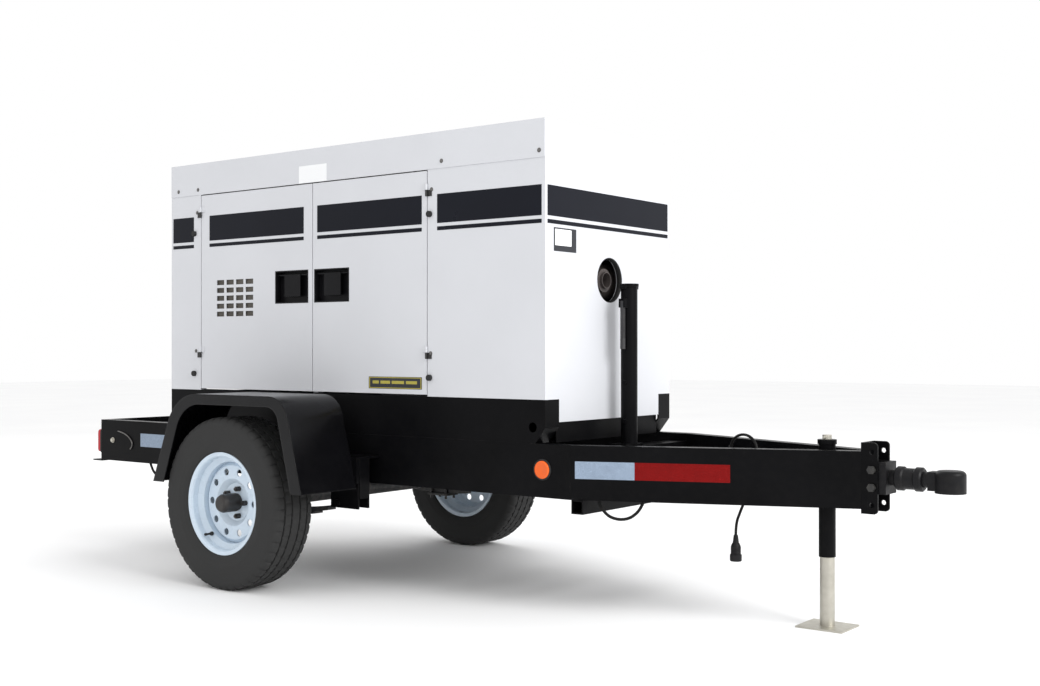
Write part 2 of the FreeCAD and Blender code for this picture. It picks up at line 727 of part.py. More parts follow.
def build_post():
    """An upright tube with a base plate, a flanged cap and a cross pin."""
    x = s.post_x
    bore = s.post_radius - s.post_wall
    tube = ring("z", (x, 0, s.post_foot), s.post_radius, bore, s.post_top - s.post_foot)
    plate = box((x - 50, x + 26), (-60, 60), (s.post_foot - 10, s.post_foot + 1))
    cap = rod("z", (x, 0, s.post_top - 3), s.post_radius + 5, 11)
    arm = box((x - 12, x + 12), (-48, 48), (s.post_top - 12, s.post_top + 5))
    lug_y = -s.post_radius
    lugs = [box((x + side, x + side + 6), (lug_y - 22, lug_y + 4), (1118, 1152)) for side in (-13.3, 7.3)]
    bolts = [hexagon("y", (x, -s.post_radius - 7, z), 9, 12) for z in (684, 833)]
    pivot = rod("x", (x - 14, lug_y - 13, 1137), 4, 28)
    node("carrier_post", fuse(tube, plate, cap, arm, pivot, *lugs, *bolts))
    bar = box((x - 7, x + 7), (lug_y - 20, lug_y - 6), (975, 1144))
    knob = rod("z", (x, lug_y - 13, 960), 10, 40)
    hole = rod("x", (x - 8, lug_y - 13, 1137), 4 + s.running_gap, 16)
    node("post_lever", cut(fuse(bar, knob), hole))


def fender_corners(inset, foot):
    """Side outline of a fender, drawn in by a wall where asked."""
    return [
        (s.fender_rear_foot_x + inset * 1.07, foot),
        (s.fender_rear_top_x + inset * 1.07, s.fender_top - inset),
        (s.fender_front_top_x - inset * 1.03, s.fender_top - inset),
        (s.fender_front_foot_x - inset * 1.03, foot),
    ]


def build_fenders():
    """A wrap-round fender with a turned-down outer lip; the other side mirrors it."""
    body = new_body()
    pad(body, "xz", -s.fender_out, -s.fender_in, [fender_corners(as_size(0), s.fender_foot)])
    across = Vector(0, 1, 0)
    top = s.fender_top.value
    middle = 0.5 * (s.fender_rear_top_x.value + s.fender_front_top_x.value)
    round_edges(body, s.fender_rear_round,
                lambda edge, point: along(edge, across) and near(point.z, top) and point.x < middle)
    round_edges(body, s.fender_front_round,
                lambda edge, point: along(edge, across) and near(point.z, top) and point.x > middle)
    tray = new_body()
    wall = s.fender_wall
    low = s.fender_foot - 60
    pad(tray, "xz", -s.fender_out + wall, -s.fender_in + 5, [fender_corners(wall, low)])
    lip = new_body()
    pad(lip, "xz", -s.fender_out - 5, -s.fender_in + 5, [fender_corners(s.fender_lip, low)])
    for inner, inset in ((tray, wall), (lip, s.fender_lip)):
        level = (s.fender_top - inset).value
        round_edges(inner, s.fender_rear_round - inset,
                    lambda edge, point: along(edge, across) and near(point.z, level) and point.x < middle)
        round_edges(inner, s.fender_front_round - inset,
                    lambda edge, point: along(edge, across) and near(point.z, level) and point.x > middle)
    right = node("fender_right", cut(body, tray, lip))
    node("fender_left", mirror(right))


def build_suspension_rails():
    """Outriggers along the rails that carry the spring hangers, with their eye bolts."""
    low = s.side_rail_bottom
    high = low + s.side_rail_height
    wall = s.hanger_wall
    length = (-s.side_rail_half, s.side_rail_half)
    top = box(length, (-s.side_rail_out, -s.rail_half), (high - wall, high))
    side = box(length, (-s.side_rail_out, -s.side_rail_out + wall), (low, high))
    ears = []
    bores = []
    bolts = []
    inner = s.spring_y - s.spring_width / 2 - 1.5
    outer = s.spring_y + s.spring_width / 2 + 1.5
    for sign in (-1, 1):
        span = sorted((s.hanger_back * sign, s.side_rail_half * sign), key=lambda size: size.value)
        ears.append(box(span, (-inner, -inner + wall), (s.hanger_bottom, high)))
        ears.append(box(span, (-outer - wall, -outer), (s.hanger_bottom, high)))
        ears.append(box((s.side_rail_half * sign - 4, s.side_rail_half * sign + 4), (-outer - 1, -inner + 1),
                        (s.hanger_bottom + 40, high)))
        eye = (s.spring_eye_x * sign, s.spring_eye_z)
        through = outer - inner + wall * 2 + 20
        bores.append(rod("y", (eye[0], -outer - wall - 5, eye[1]), s.eye_bolt_radius, through))
        pin = rod("y", (eye[0], -outer - wall - 1, eye[1]), s.eye_bolt_radius, outer - inner + wall * 2 + 14)
        head = hexagon("y", (eye[0], -outer - wall - 9, eye[1]), 12, 9)
        bolts.append(fuse(pin, head))
    rail = cut(fuse(top, side, *ears), *bores)
    node("suspension_rails", group(both(rail), *[both(bolt) for bolt in bolts]))


# ---------------------------------------------------------------- axle and wheels


def build_axle_beam():
    """A round tube with a turned spindle at each end."""
    body = new_body(0, 0, WHEEL_Z)
    half = s.axle_half
    end = s.track_half + 62
    seat = half + 16
    radius = s.axle_radius
    spindle = s.spindle_radius
    points = [
        (0, -end), (spindle, -end), (spindle, -seat), (radius, -half), (radius, half), (spindle, seat),
        (spindle, end), (0, end),
    ]
    revolve(body, "xy", points)
    node("axle_beam", body)


def leaf(half_length, level, depth):
    """One curved leaf, as an arc of constant thickness through its centre height."""
    eye = s.spring_eye_x.value
    rise = (s.spring_eye_z - s.eye_radius + 8).value - (WHEEL_Z - s.axle_radius).value
    radius = (eye * eye + rise * rise) / (2 * rise)
    centre = Vector(0, 0, level + radius)
    angle = math.asin(half_length / radius)

    def rim_point(distance, turn):
        return centre + Vector(distance * math.sin(turn), 0, -distance * math.cos(turn))

    near_side = [rim_point(radius, turn) for turn in (-angle, 0, angle)]
    far_side = [rim_point(radius + depth, turn) for turn in (angle, 0, -angle)]
    edges = [
        Part.Arc(*near_side).toShape(),
        Part.LineSegment(near_side[2], far_side[0]).toShape(),
        Part.Arc(*far_side).toShape(),
        Part.LineSegment(far_side[2], near_side[0]).toShape(),
    ]
    face = Part.Face(Part.Wire(edges))
    return face.extrude(Vector(0, s.spring_width.value, 0))


def build_leaf_springs():
    """Arched leaf packs under the axle with rolled eyes at both ends."""
    width = s.spring_width.value
    thick = s.leaf_thick.value
    level = (WHEEL_Z - s.axle_radius).value
    pack = leaf(s.spring_eye_x.value - 4, level, thick)
    for index, share in enumerate((0.82, 0.62, 0.42), start=1):
        shorter = leaf(s.spring_eye_x.value * share, level - index * thick, thick)
        pack = pack.fuse(shorter)
    for sign in (-1, 1):
        centre = Vector(sign * s.spring_eye_x.value, 0, s.spring_eye_z.value)
        eye = Part.makeCylinder(s.eye_radius.value, width, centre, Vector(0, 1, 0))
        across = Vector(0, 1, 0)
        bore = Part.makeCylinder(s.eye_bolt_radius.value, width + 2, centre - across, across)
        pack = pack.fuse(eye).cut(bore)
    springs = []
    for side in (-1, 1):
        one = pack.removeSplitter()
        one.translate(Vector(0, side * s.spring_y.value - width / 2, 0))
        springs.append(one)
    piece = doc.addObject("Part::Feature", "Springs")
    piece.Shape = Part.makeCompound(springs)
    place(piece, 0, 0, 0)
    node("leaf_springs", piece)


def u_bolt(x, y):
    """One U-bolt over the axle tube; its legs pass beside the spring."""
    bend = s.axle_radius + 6.2
    torus = doc.addObject("Part::Torus", "Bend")
    torus.Placement = Placement(Vector(), Rotation(Vector(1, 0, 0), 90))
    torus.Radius2 = 6
    bind(torus, "Radius1", bend)
    torus.Angle3 = 180
    place(torus, x, y, WHEEL_Z)
    low = WHEEL_Z - s.axle_radius - s.leaf_thick * 4 - 26
    legs = [rod("z", (x + bend * side, y, low), 6, WHEEL_Z - low) for side in (-1, 1)]
    return fuse(torus, *legs)


def build_u_bolts():
    """U-bolts and the spring plates that they draw up under the springs."""
    pieces = []
    reach = s.spring_width / 2 + 7
    under = WHEEL_Z - s.axle_radius - s.leaf_thick * 4
    half = s.axle_radius + 22
    plate = box((-half, half), (-s.spring_y - reach - 13, -s.spring_y + reach + 13), (under - 10, under))
    bolts = [u_bolt(0, -s.spring_y - reach), u_bolt(0, -s.spring_y + reach)]
    pieces.append(both(fuse(plate, *bolts)))
    node("axle_u_bolts", group(*pieces))


def tyre_section():
    """Half-round tyre section as (radius, across) corners, a hollow carcass with square shoulders."""
    half = s.tyre_width / 2
    tread = s.tyre_radius
    seat = s.rim_seat + 0.4
    outside = [
        (seat, 71), (seat + 8, 75), (s.rim_flange + 0.4, 77), (s.rim_flange + 5, 86),
        (s.rim_flange + 24, half - 3), (s.rim_flange + 50, half), (tread - 52, half - 3),
        (tread - 22, half - 12), (tread - 8, half - 22), (tread - 2, half - 34), (tread, half - 46),
    ]
    inside = [
        (tread - 14, half - 40), (tread - 26, half - 24), (tread - 60, half - 10),
        (s.rim_flange + 40, half - 9), (s.rim_flange + 14, half - 20), (seat + 12, 58), (seat, 54),
    ]
    far_outside = [(radius, -across) for radius, across in reversed(outside)]
    far_inside = [(radius, -across) for radius, across in reversed(inside)]
    return outside + far_outside + far_inside + inside


def build_tyre():
    """A hollow tyre with four grooves round its tread."""
    body = new_body(0, -s.track_half, WHEEL_Z)
    revolve(body, "xy", tyre_section())
    for across in (-42, -15, 15, 42):
        sketch = new_sketch(body, "xy", 0)
        tread = s.tyre_radius
        add_outline(sketch, rectangle((tread - 7, tread + 6), (across - 3.5, across + 3.5)))
        groove = body.newObject("PartDesign::Groove", "Groove")
        groove.Profile = sketch
        groove.ReferenceAxis = (sketch, ["V_Axis"])
        groove.Angle = 360
    right = node("tyre_right", body)
    node("tyre_left", mirror(right))


def rim_section():
    """Barrel section of a rim as (radius, across) corners."""
    half = s.rim_half
    wall = s.rim_wall
    outer = [
        (s.rim_flange, half), (s.rim_flange, half - wall), (s.rim_seat + 4, half - wall - 2),
        (s.rim_seat, half - 11), (s.rim_seat, half - 35), (s.rim_well, half - 49),
    ]
    inner = [
        (s.rim_well - wall, half - 47), (s.rim_seat - wall, half - 33), (s.rim_seat - wall, half - 9),
        (s.rim_seat, half - 2), (s.rim_flange - 4, half),
    ]
    lower = [(radius, -across) for radius, across in outer]
    lower_in = [(radius, -across) for radius, across in inner]
    return outer + lower[::-1] + lower_in[::-1] + inner


def build_rim():
    """A pressed wheel: barrel, dished disc, ten vent holes and five lug holes."""
    body = new_body(0, -s.track_half, WHEEL_Z)
    revolve(body, "xy", rim_section())
    wall = s.disc_wall
    rise = s.disc_rise
    bore = s.hub_radius + 0.5
    well = s.rim_well - 2.5
    disc = [
        (bore, 0), (78, 0), (98, -rise), (well - 20, -rise), (well, 0), (well, -wall * 1.5),
        (well - 17, -rise - wall), (95.5, -rise - wall), (75.5, -wall), (bore, -wall),
    ]
    revolve(body, "xy", disc)
    low = -rise - wall - 2
    vent = pocket(body, "xz", low, 2, circles=[(s.vent_circle, 0, s.vent_radius)])
    ring_pattern(body, vent, "Y_Axis", s.vent_count)
    lug = pocket(body, "xz", -wall - 2, 2, circles=[(s.lug_circle, 0, 7)])
    ring_pattern(body, lug, "Y_Axis", s.lug_count)
    right = node("rim_right", body)
    node("rim_left", mirror(right))


def build_hub():
    """A hub with its grease cap, and five lug nuts on studs as separate solids."""
    body = new_body(0, -s.track_half, WHEEL_Z)
    bore = s.spindle_radius + s.running_gap
    pilot = s.hub_radius
    cap = s.cap_radius
    reach = s.cap_reach
    end = 62 + 2
    points = [
        (bore, 70), (46, 70), (50, 12), (72, 12), (72, 0), (pilot, 0), (pilot, -10), (cap, -14),
        (cap, -reach + 16),
        (cap - 6, -reach + 4), (cap - 14, -reach), (0, -reach), (0, -end), (bore, -end),
    ]
    revolve(body, "xy", points)
    nuts = []
    step = 2 * math.pi / s.lug_count.value
    for index in range(int(s.lug_count.value)):
        x = s.lug_circle * math.cos(index * step)
        z = WHEEL_Z + s.lug_circle * math.sin(index * step)
        y = -s.track_half - s.disc_wall - s.nut_height
        nut = hexagon("y", (x, y, z), s.nut_radius, s.nut_height)
        stud = rod("y", (x, y - 6, z), 6, s.nut_height + s.disc_wall + 6)
        nuts.append(fuse(nut, stud))
    right = node("hub_right", group(body, *nuts))
    node("hub_left", mirror(right))


# ---------------------------------------------------------------- cabinet


def build_skid_base():
    """Two sills with cut-off corners, cross beams, a floor plate and tie-down holes."""
    rear = s.cab_rear
    front = s.cab_front
    low = s.base_bottom
    inner = s.cab_half - s.sill_width
    side = [
        (rear, low + s.base_cut_rise), (rear + s.base_cut, low), (front - s.base_cut, low),
        (front, low + s.base_cut_rise), (front, SILL_TOP), (rear, SILL_TOP),
    ]
    body = new_body()
    pad(body, "xz", -s.cab_half, -inner, [side])
    wall = s.sill_wall
    step = wall * 0.4
    hollow = [
        (rear + wall, low + s.base_cut_rise + step), (rear + s.base_cut + step, low + wall),
        (front - s.base_cut - step, low + wall), (front - wall, low + s.base_cut_rise + step),
        (front - wall, SILL_TOP - wall), (rear + wall, SILL_TOP - wall),
    ]
    pocket(body, "xz", -s.cab_half + wall, -inner, [hollow])
    ties = [(front - s.tie_inset, s.tie_z, s.tie_radius), (rear + s.tie_inset, s.tie_z, s.tie_radius)]
    pocket(body, "xz", -s.cab_half - 1, -inner + 1, circles=ties)
    beams = []
    high = low + s.base_beam_height
    inner_span = (-inner - 1, inner + 1)
    length = front - rear
    for x in (rear + 12, front - 72):
        beams.append(hollow_box((x, x + 60), inner_span, (low, high), wall, "y"))
    for share in (0.16, 0.47, 0.68):
        start = rear + length * share
        beams.append(hollow_box((start, start + 60), inner_span, (low, SILL_TOP), wall, "y"))
    floor = box((rear + 12, front - 12), inner_span, (low, low + wall))
    frame = fuse(body, mirror(body), floor, *beams)
    node("skid_base", frame)


def mount_places():
    """The four points where engine and generator stand on their rubber mounts."""
    length = s.cab_front - s.cab_rear
    rear = s.cab_rear + length * 0.16 + 30
    front = s.cab_rear + length * 0.68 + 30
    return [(x, y) for x in (rear, front) for y in (-170, 170)]


def build_engine_mounts():
    """Rubber mounts on the base's inner beams."""
    mounts = [rod("z", (x, y, SILL_TOP), s.mount_radius, s.mount_top - SILL_TOP) for x, y in mount_places()]
    node("engine_mounts", group(*mounts))


def build_fuel_tank():
    """A flat tank that lies on the base's floor between its beams."""
    length = s.cab_front - s.cab_rear
    inner = s.cab_half - s.sill_width - 12
    x = (s.cab_rear + length * 0.16 + 72, s.cab_rear + length * 0.47 - 12)
    low = s.base_bottom + s.sill_wall
    tank = box(x, (-inner, inner), (low, SILL_TOP - 8))
    neck = rod("z", (x[0] + 60, -inner + 60, SILL_TOP - 10), 28, 34)
    cap = rod("z", (x[0] + 60, -inner + 60, SILL_TOP + 22), 36, 16)
    node("fuel_tank", fuse(tank, neck, cap))


def build_roof():
    """A flat roof with a deep skirt all round."""
    x = (s.cab_rear, s.cab_front)
    y = (-s.cab_half - 2, s.cab_half + 2)
    shell = box(x, y, (DOOR_TOP, s.cab_top))
    inside = box((x[0] + s.sheet, x[1] - s.sheet), (y[0] + s.sheet, y[1] - s.sheet),
                 (DOOR_TOP - 1, s.cab_top - s.sheet))
    node("roof_panel", cut(shell, inside))


def side_strip(x, flange_at):
    """One fixed side panel with a flange beside the doors."""
    y = (-s.cab_half, -s.cab_half + s.sheet)
    z = (s.cab_bottom, DOOR_TOP)
    plate = box(x, y, z)
    if flange_at == "front":
        edge = (x[1] - s.sheet, x[1])
    else:
        edge = (x[0], x[0] + s.sheet)
    flange = box(edge, (-s.cab_half, -s.cab_half + 32), z)
    return fuse(plate, flange)


def build_side_panels():
    """Fixed panels at both ends of a side, and the centre post behind the doors' meeting edge."""
    gap = s.door_gap / 2
    rear = side_strip((s.cab_rear + s.sheet, s.door_rear_x - gap), "front")
    front = side_strip((s.door_front_x + gap, s.cab_front - s.sheet), "rear")
    inner = -s.cab_half + s.door_tray + s.door_gap
    post = box((s.door_mid_x - 24, s.door_mid_x + 6), (inner, inner + 24), (s.cab_bottom, DOOR_TOP))
    right = node("side_panels_right", group(rear, front, post))
    node("side_panels_left", mirror(right))


def build_front_panel():
    """The front sheet with its round opening and a skirt between the base's sills."""
    body = new_body()
    x = (s.cab_front - s.sheet, s.cab_front)
    half = s.cab_half
    pad(body, "yz", x[0], x[1], [rectangle((-half, half), (s.cab_bottom, DOOR_TOP))])
    hole = (s.front_hole_y, s.front_hole_z, s.front_hole_radius)
    pocket(body, "yz", x[0] - 1, x[1] + 1, circles=[hole])
    pad(body, "yz", x[0] - 24, x[0], circles=[hole[:2] + (hole[2] + 5,), hole])
    inner = s.cab_half - s.sill_width - 1
    beam_top = s.base_bottom + s.base_beam_height
    pad(body, "yz", x[0], x[1], [rectangle((-inner, inner), (beam_top, s.cab_bottom + 1))])
    node("front_panel", body)


def build_rear_panel():
    """The rear sheet with the control window and the terminal opening."""
    body = new_body()
    x = (s.cab_rear, s.cab_rear + s.sheet)
    pad(body, "yz", x[0], x[1], [rectangle((-s.cab_half, s.cab_half), (s.cab_bottom, DOOR_TOP))])
    span = (-s.window_half, s.window_half)
    windows = [rectangle(span, (s.window_low, s.window_high)), rectangle(span, (s.outlet_low, s.outlet_high))]
    pocket(body, "yz", x[0] - 1, x[1] + 1, windows)
    node("rear_panel", body)


def vent_outlines():
    """The rows and columns of vents in the rear side door."""
    vents = []
    for column in range(int(s.vent_columns.value)):
        for row in range(int(s.vent_rows.value)):
            x = s.grille_x + s.vent_pitch_x * column
            z = s.grille_z + s.vent_pitch_z * row
            vents.append(rectangle((x, x + s.vent_wide), (z, z + s.vent_high)))
    return vents


def hinge_side(edge, sign):
    """A door's own knuckles and leaves: sign is +1 where the door lies ahead of its hinge."""
    pieces = []
    for z in (s.hinge_low, s.hinge_high):
        pieces.append(rod("z", (edge, HINGE_Y, z + 0.5), s.knuckle_radius, s.knuckle_length))
        span = sorted((as_size(edge), edge + s.hinge_leaf * sign), key=lambda size: size.value)
        pieces.append(box(span, (-s.cab_half - 2.5, -s.cab_half), (z + 0.5, z + 0.5 + s.knuckle_length)))
    return pieces


def door(x, hinge_sign, latch_x, vents):
    """A tray-shaped side door with a latch recess; it is hinged at its outer edge."""
    gap = s.door_gap / 2
    x = (x[0] + gap, x[1] - gap)
    z = (s.cab_bottom + s.door_sill_gap, DOOR_TOP - s.door_gap)
    face = -s.cab_half
    back = face + s.door_tray
    body = new_body()
    pad(body, "xz", face, back, [rectangle(x, z)])
    wall = s.sheet
    pocket(body, "xz", face + wall, back, [rectangle((x[0] + wall, x[1] - wall), (z[0] + wall, z[1] - wall))])
    across = (latch_x, latch_x + s.latch_width)
    rise = (s.latch_low, s.latch_high)
    cup = face + s.latch_depth
    outline = rectangle((across[0] - wall, across[1] + wall), (rise[0] - wall, rise[1] + wall))
    pad(body, "xz", face + wall / 2, cup, [outline])
    pocket(body, "xz", face - 1, cup - wall, [rectangle(across, rise)])
    if vents:
        pocket(body, "xz", face - 1, face + wall + 1, vents)
    edge = x[0] - gap if hinge_sign > 0 else x[1] + gap
    return fuse(body, *hinge_side(edge, hinge_sign))


def build_doors():
    """Two doors on each side; the left side mirrors the right."""
    rear_latch = s.door_mid_x - s.latch_inset - s.latch_width
    front_latch = s.door_mid_x + s.latch_inset - 15
    rear = door((s.door_rear_x, s.door_mid_x), 1, rear_latch, vent_outlines())
    front = door((s.door_mid_x, s.door_front_x), -1, front_latch, [])
    node("door_rear_left", mirror(node("door_rear_right", rear)))
    node("door_front_left", mirror(node("door_front_right", front)))
    for name, x in (("rear", rear_latch), ("front", front_latch)):
        right = node("latch_%s_right" % name, latch(x))
        node("latch_%s_left" % name, mirror(right))


def latch(x):
    """A paddle that pivots on a pin across the top of its recess."""
    face = -s.cab_half
    low = x + s.latch_width / 2 - 48
    high = x + s.latch_width / 2 + 48
    plate = box((low, high), (face + 4, face + 9), (s.latch_low + 24, s.latch_high - 12))
    pin = rod("x", (x + s.body_gap, face + 13, s.latch_high - 14), 5, s.latch_width - s.body_gap * 2)
    lip = box((low, high), (face + 4, face + 16), (s.latch_low + 24, s.latch_low + 29))
    return fuse(plate, pin, lip)


def build_door_hinges():
    """The fixed knuckles and leaves of the side doors."""
    pieces = []
    for edge, sign in ((s.door_rear_x, -1), (s.door_front_x, 1)):
        for z in (s.hinge_low, s.hinge_high):
            low = z - s.knuckle_length - 0.5
            knuckle = rod("z", (edge, HINGE_Y, low), s.knuckle_radius, s.knuckle_length)
            span = sorted((as_size(edge), edge + s.hinge_leaf * sign), key=lambda size: size.value)
            leaf_plate = box(span, (-s.cab_half - 2.5, -s.cab_half), (low, low + s.knuckle_length))
            pieces.append(both(fuse(knuckle, leaf_plate)))
    node("door_hinges", group(*pieces))


def build_door_stops():
    """Rubber buffers on the fixed panels, where the open doors come to rest."""
    stops = []
    for x in (s.door_rear_x - 45, s.door_front_x + 14):
        for z in (849, 1482):
            stops.append(both(rod("y", (x, -s.cab_half - s.stop_height, z), s.stop_radius, s.stop_height)))
    node("door_stops", group(*stops))


# ---------------------------------------------------------------- power unit


def build_engine():
    """Block with a hollow crankcase, head, sump, bell housing and feet."""
    front = s.fan_x - 95
    rear = 160
    block = box((rear + 60, front), (-150, 150), (920, 1250))
    case = box((rear + 100, front - 40), (-130, 130), (840, 1225))
    head = box((rear + 90, front - 30), (-110, 110), (1250, 1330))
    cover = box((rear + 110, front - 50), (-80, 80), (1329, 1368))
    sump = box((rear + 80, front - 20), (-142, 142), (850, 921))
    bell = rod("x", (rear, 0, s.shaft_z), 190, 62)
    nose = rod("x", (front - 2, 0, s.shaft_z), 60, 30)
    bore = rod("x", (front - 60, 0, s.shaft_z), s.fan_shaft + s.running_gap, 100)
    feet = []
    for x, y in mount_places()[2:]:
        low = y - 30 if y < 0 else 100
        feet.append(box((x - 40, x + 40), (low, low + 100), (s.mount_top, s.mount_top + 91)))
    solid = fuse(block, head, cover, sump, bell, nose, *feet)
    node("engine_block", cut(solid, case, bore))


def build_generator():
    """A round alternator housing on feet, open at its rear end."""
    rear = -470
    front = as_size(160)
    shell = rod("x", (rear, 0, s.shaft_z), s.housing_radius, front - rear)
    inner = rod("x", (rear - 1, 0, s.shaft_z), s.housing_radius - s.housing_wall, front - rear - 40)
    feet = []
    for x, y in mount_places()[:2]:
        low = y - 30 if y < 0 else 100
        feet.append(box((x - 40, x + 40), (low, low + 100), (s.mount_top, s.shaft_z - 120)))
    outer = s.housing_radius + 8
    ribs = [ring("x", (x, 0, s.shaft_z), outer, s.housing_radius - 4, 14) for x in (-440, -160, 110)]
    node("generator_housing", cut(fuse(shell, *ribs, *feet), inner))


def build_fan():
    """A fan with twisted blades, its pulley and the shaft that turns in the block."""
    body = new_body(s.fan_x, 0, s.shaft_z)
    back = -130
    shaft = s.fan_shaft
    points = [
        (back, 0), (back, shaft), (-62, shaft), (-62, 55), (-56, 60), (-50, 52), (-44, 60), (-38, 55),
        (-38, 30), (-20, 30), (-20, 70), (20, 70), (20, 0),
    ]
    revolve(body, "xy", points, "H_Axis")
    blade = [(-18, -40), (-12, -40), (18, 40), (12, 40)]
    tip = pad(body, "xy", 60, s.fan_radius, [blade])
    ring_pattern(body, tip, "X_Axis", s.fan_blades)
    node("cooling_fan", body)


def build_radiator():
    """A radiator core with side tanks and a round shroud towards the fan."""
    x = (s.radiator_x, s.radiator_x + s.radiator_depth)
    half = s.radiator_half
    z = (s.radiator_bottom, s.radiator_top)
    core = box((x[0] + 18, x[1] - 18), (-half, half), z)
    frames = [box(x, (y, y + 24), z) for y in (-half, half - 24)]
    tanks = box((x[0] - 6, x[1] + 6), (-half, half), (z[1] - 70, z[1]))
    plate = box((x[0] - 8, x[0]), (-half, half), (s.radiator_bottom, z[1] - 70))
    throat = rod("x", (s.fan_x - 15, 0, s.shaft_z), s.fan_radius + 18, x[0] - s.fan_x + 15)
    air = rod("x", (s.fan_x - 20, 0, s.shaft_z), s.fan_radius + 14, x[0] - s.fan_x + 12)
    cap = rod("z", (x[0] + 30, 150, z[1] - 1), 24, 22)
    feet = box((x[0] - 10, x[1] + 10), (-half, half), (SILL_TOP, s.radiator_bottom + 2))
    shroud = cut(fuse(throat, plate), air)
    node("radiator", fuse(core, tanks, shroud, cap, feet, *frames))


def build_muffler():
    """A muffler lying across the cabinet, its elbow pointing out of the round opening."""
    half = s.muffler_half
    z = s.front_hole_z
    can = rod("y", (s.muffler_x, -half, z), s.muffler_radius, half * 2)
    reach = s.cab_front - 14 - s.muffler_x
    stub = rod("x", (s.muffler_x, s.front_hole_y, z), s.pipe_radius, reach)
    flange = rod("x", (s.cab_front - 34, s.front_hole_y, z), s.pipe_radius + 14, 8)
    bore = rod("x", (s.muffler_x, s.front_hole_y, z), s.pipe_radius - 3, reach + 1)
    chamber = rod("y", (s.muffler_x, -half + 4, z), s.muffler_radius - 3, half * 2 - 8)
    stays = [box((s.muffler_x - 15, s.muffler_x + 15), (y, y + 5), (SILL_TOP, z)) for y in (-250, 245)]
    half = s.cab_half - 20
    sole = box((s.muffler_x - 25, s.muffler_x + 25), (-half, half), (SILL_TOP, SILL_TOP + 6))
    node("muffler", cut(fuse(can, stub, flange, sole, *stays), bore, chamber))


def build_air_cleaner():
    """A round air cleaner on a bracket beside the engine head."""
    can = rod("x", (360, 235, 1350), 80, 300)
    clamp = ring("x", (470, 235, 1350), 84, 79, 20)
    snout = rod("z", (620, 235, 1420), 30, 60)
    arm = box((470, 490), (110, 240), (1262, 1278))
    node("air_cleaner", fuse(can, clamp, snout, arm))


def build_battery():
    """A starter battery on the right sill, with two posts."""
    x = (480, 720)
    y = (-404, -232)
    shell = box(x, y, (SILL_TOP, SILL_TOP + 200))
    lid = box((x[0] - 3, x[1] + 3), (y[0] - 3, y[1] + 3), (SILL_TOP + 160, SILL_TOP + 190))
    posts = [rod("z", (px, -260, SILL_TOP + 199), 9, 18) for px in (510, 690)]
    node("battery", fuse(shell, lid, *posts))


def build_control_panel():
    """The control box behind the rear window, and the output board with its studs."""
    face = PANEL_FACE
    half = s.window_half + 5
    shell = box((face, face + s.panel_depth), (-half, half), (s.window_low - 8, s.window_high + 8))
    rise = (s.window_low - 4, s.window_high + 4)
    inside = box((face + 4, face + s.panel_depth + 1), (-half + 4, half - 4), rise)
    rise = (s.window_low - 14, s.window_high + 14)
    frame = box((s.cab_rear + s.sheet, face + 20), (-half - 6, half + 6), rise)
    hole = box((s.cab_rear, face), (-half, half), (s.window_low - 8, s.window_high + 8))
    socket = rod("x", (face - 1, 150, 1240), 5 + s.running_gap, 20)
    slot = rod("y", (face - 4, -150, 1260), 4 + s.running_gap, 30)
    lugs = [box((face - 9, face + 1), (y, y + 5), (1253, 1267)) for y in (-155.3, -124.7)]
    box_piece = cut(fuse(cut(shell, inside), cut(frame, hole), *lugs), socket, slot)
    board_x = s.cab_rear + 62
    reach = s.window_half - 8
    back = box((board_x, board_x + 20), (-reach, reach), (s.outlet_low, s.outlet_high - 10))
    legs = box((board_x, board_x + 20), (-60, 60), (SILL_TOP, s.outlet_low + 1))
    studs = []
    for index in range(5):
        y = s.stud_pitch * (index - 2)
        studs.append(rod("x", (board_x - s.stud_length, y, 975), s.stud_radius, s.stud_length + 4))
    board = fuse(back, legs)
    bores = [rod("x", (board_x - 1, s.stud_pitch * (index - 2), 975), s.stud_radius, 6) for index in range(5)]
    nuts = []
    for index in range(5):
        y = s.stud_pitch * (index - 2)
        nut = hexagon("x", (board_x - 9, y, 975), s.stud_radius + 5, 9)
        nuts.append(fuse(nut, studs[index]))
    node("control_panel", group(box_piece, cut(board, *bores), *nuts))


def build_breaker_lever():
    """A toggle that pivots between two lugs on the control box's face."""
    x = PANEL_FACE - 4
    pin = rod("y", (x, -150, 1260), 4, 25)
    arm = box((x - 26, x), (-144, -131), (1252, 1268))
    node("breaker_lever", fuse(pin, arm))


def build_stop_button():
    """A mushroom push button on the control box's face."""
    x = PANEL_FACE
    stem = rod("x", (x - 14, 150, 1240), 5, 24)
    head = rod("x", (x - 26, 150, 1240), 20, 13)
    node("stop_button", fuse(stem, head))


def rear_cover(low, high):
    """A flat cover over an opening in the rear panel."""
    x = (s.cab_rear - 3 - s.body_gap, s.cab_rear - s.body_gap)
    half = s.window_half + s.flap_lap
    return box(x, (-half, half), (low - s.flap_lap, high + s.flap_lap))


def build_rear_covers():
    """The control door, hinged at its left edge, and the terminal cover, hinged at its top."""
    plate = rear_cover(s.window_low, s.window_high)
    pin_x = s.cab_rear - 6
    edge = s.window_half + s.flap_lap
    barrels = []
    for z in (s.window_low + 40, s.window_high - 70):
        barrels.append(rod("z", (pin_x, edge, z), 5, 30))
    knob = rod("x", (s.cab_rear - 18, -edge + 30, (s.window_low + s.window_high) / 2), 14, 16)
    node("control_door", fuse(plate, knob, *barrels))
    flap = rear_cover(s.outlet_low, s.outlet_high)
    top = s.outlet_high + s.flap_lap
    barrels = [rod("y", (pin_x, y, top), 5, 40) for y in (-180, 140)]
    grip = box((s.cab_rear - 20, s.cab_rear - 3), (-50, 50), (s.outlet_low - 8, s.outlet_low - 3))
    node("terminal_cover", fuse(flap, grip, *barrels))


# ---------------------------------------------------------------- lamps and wiring


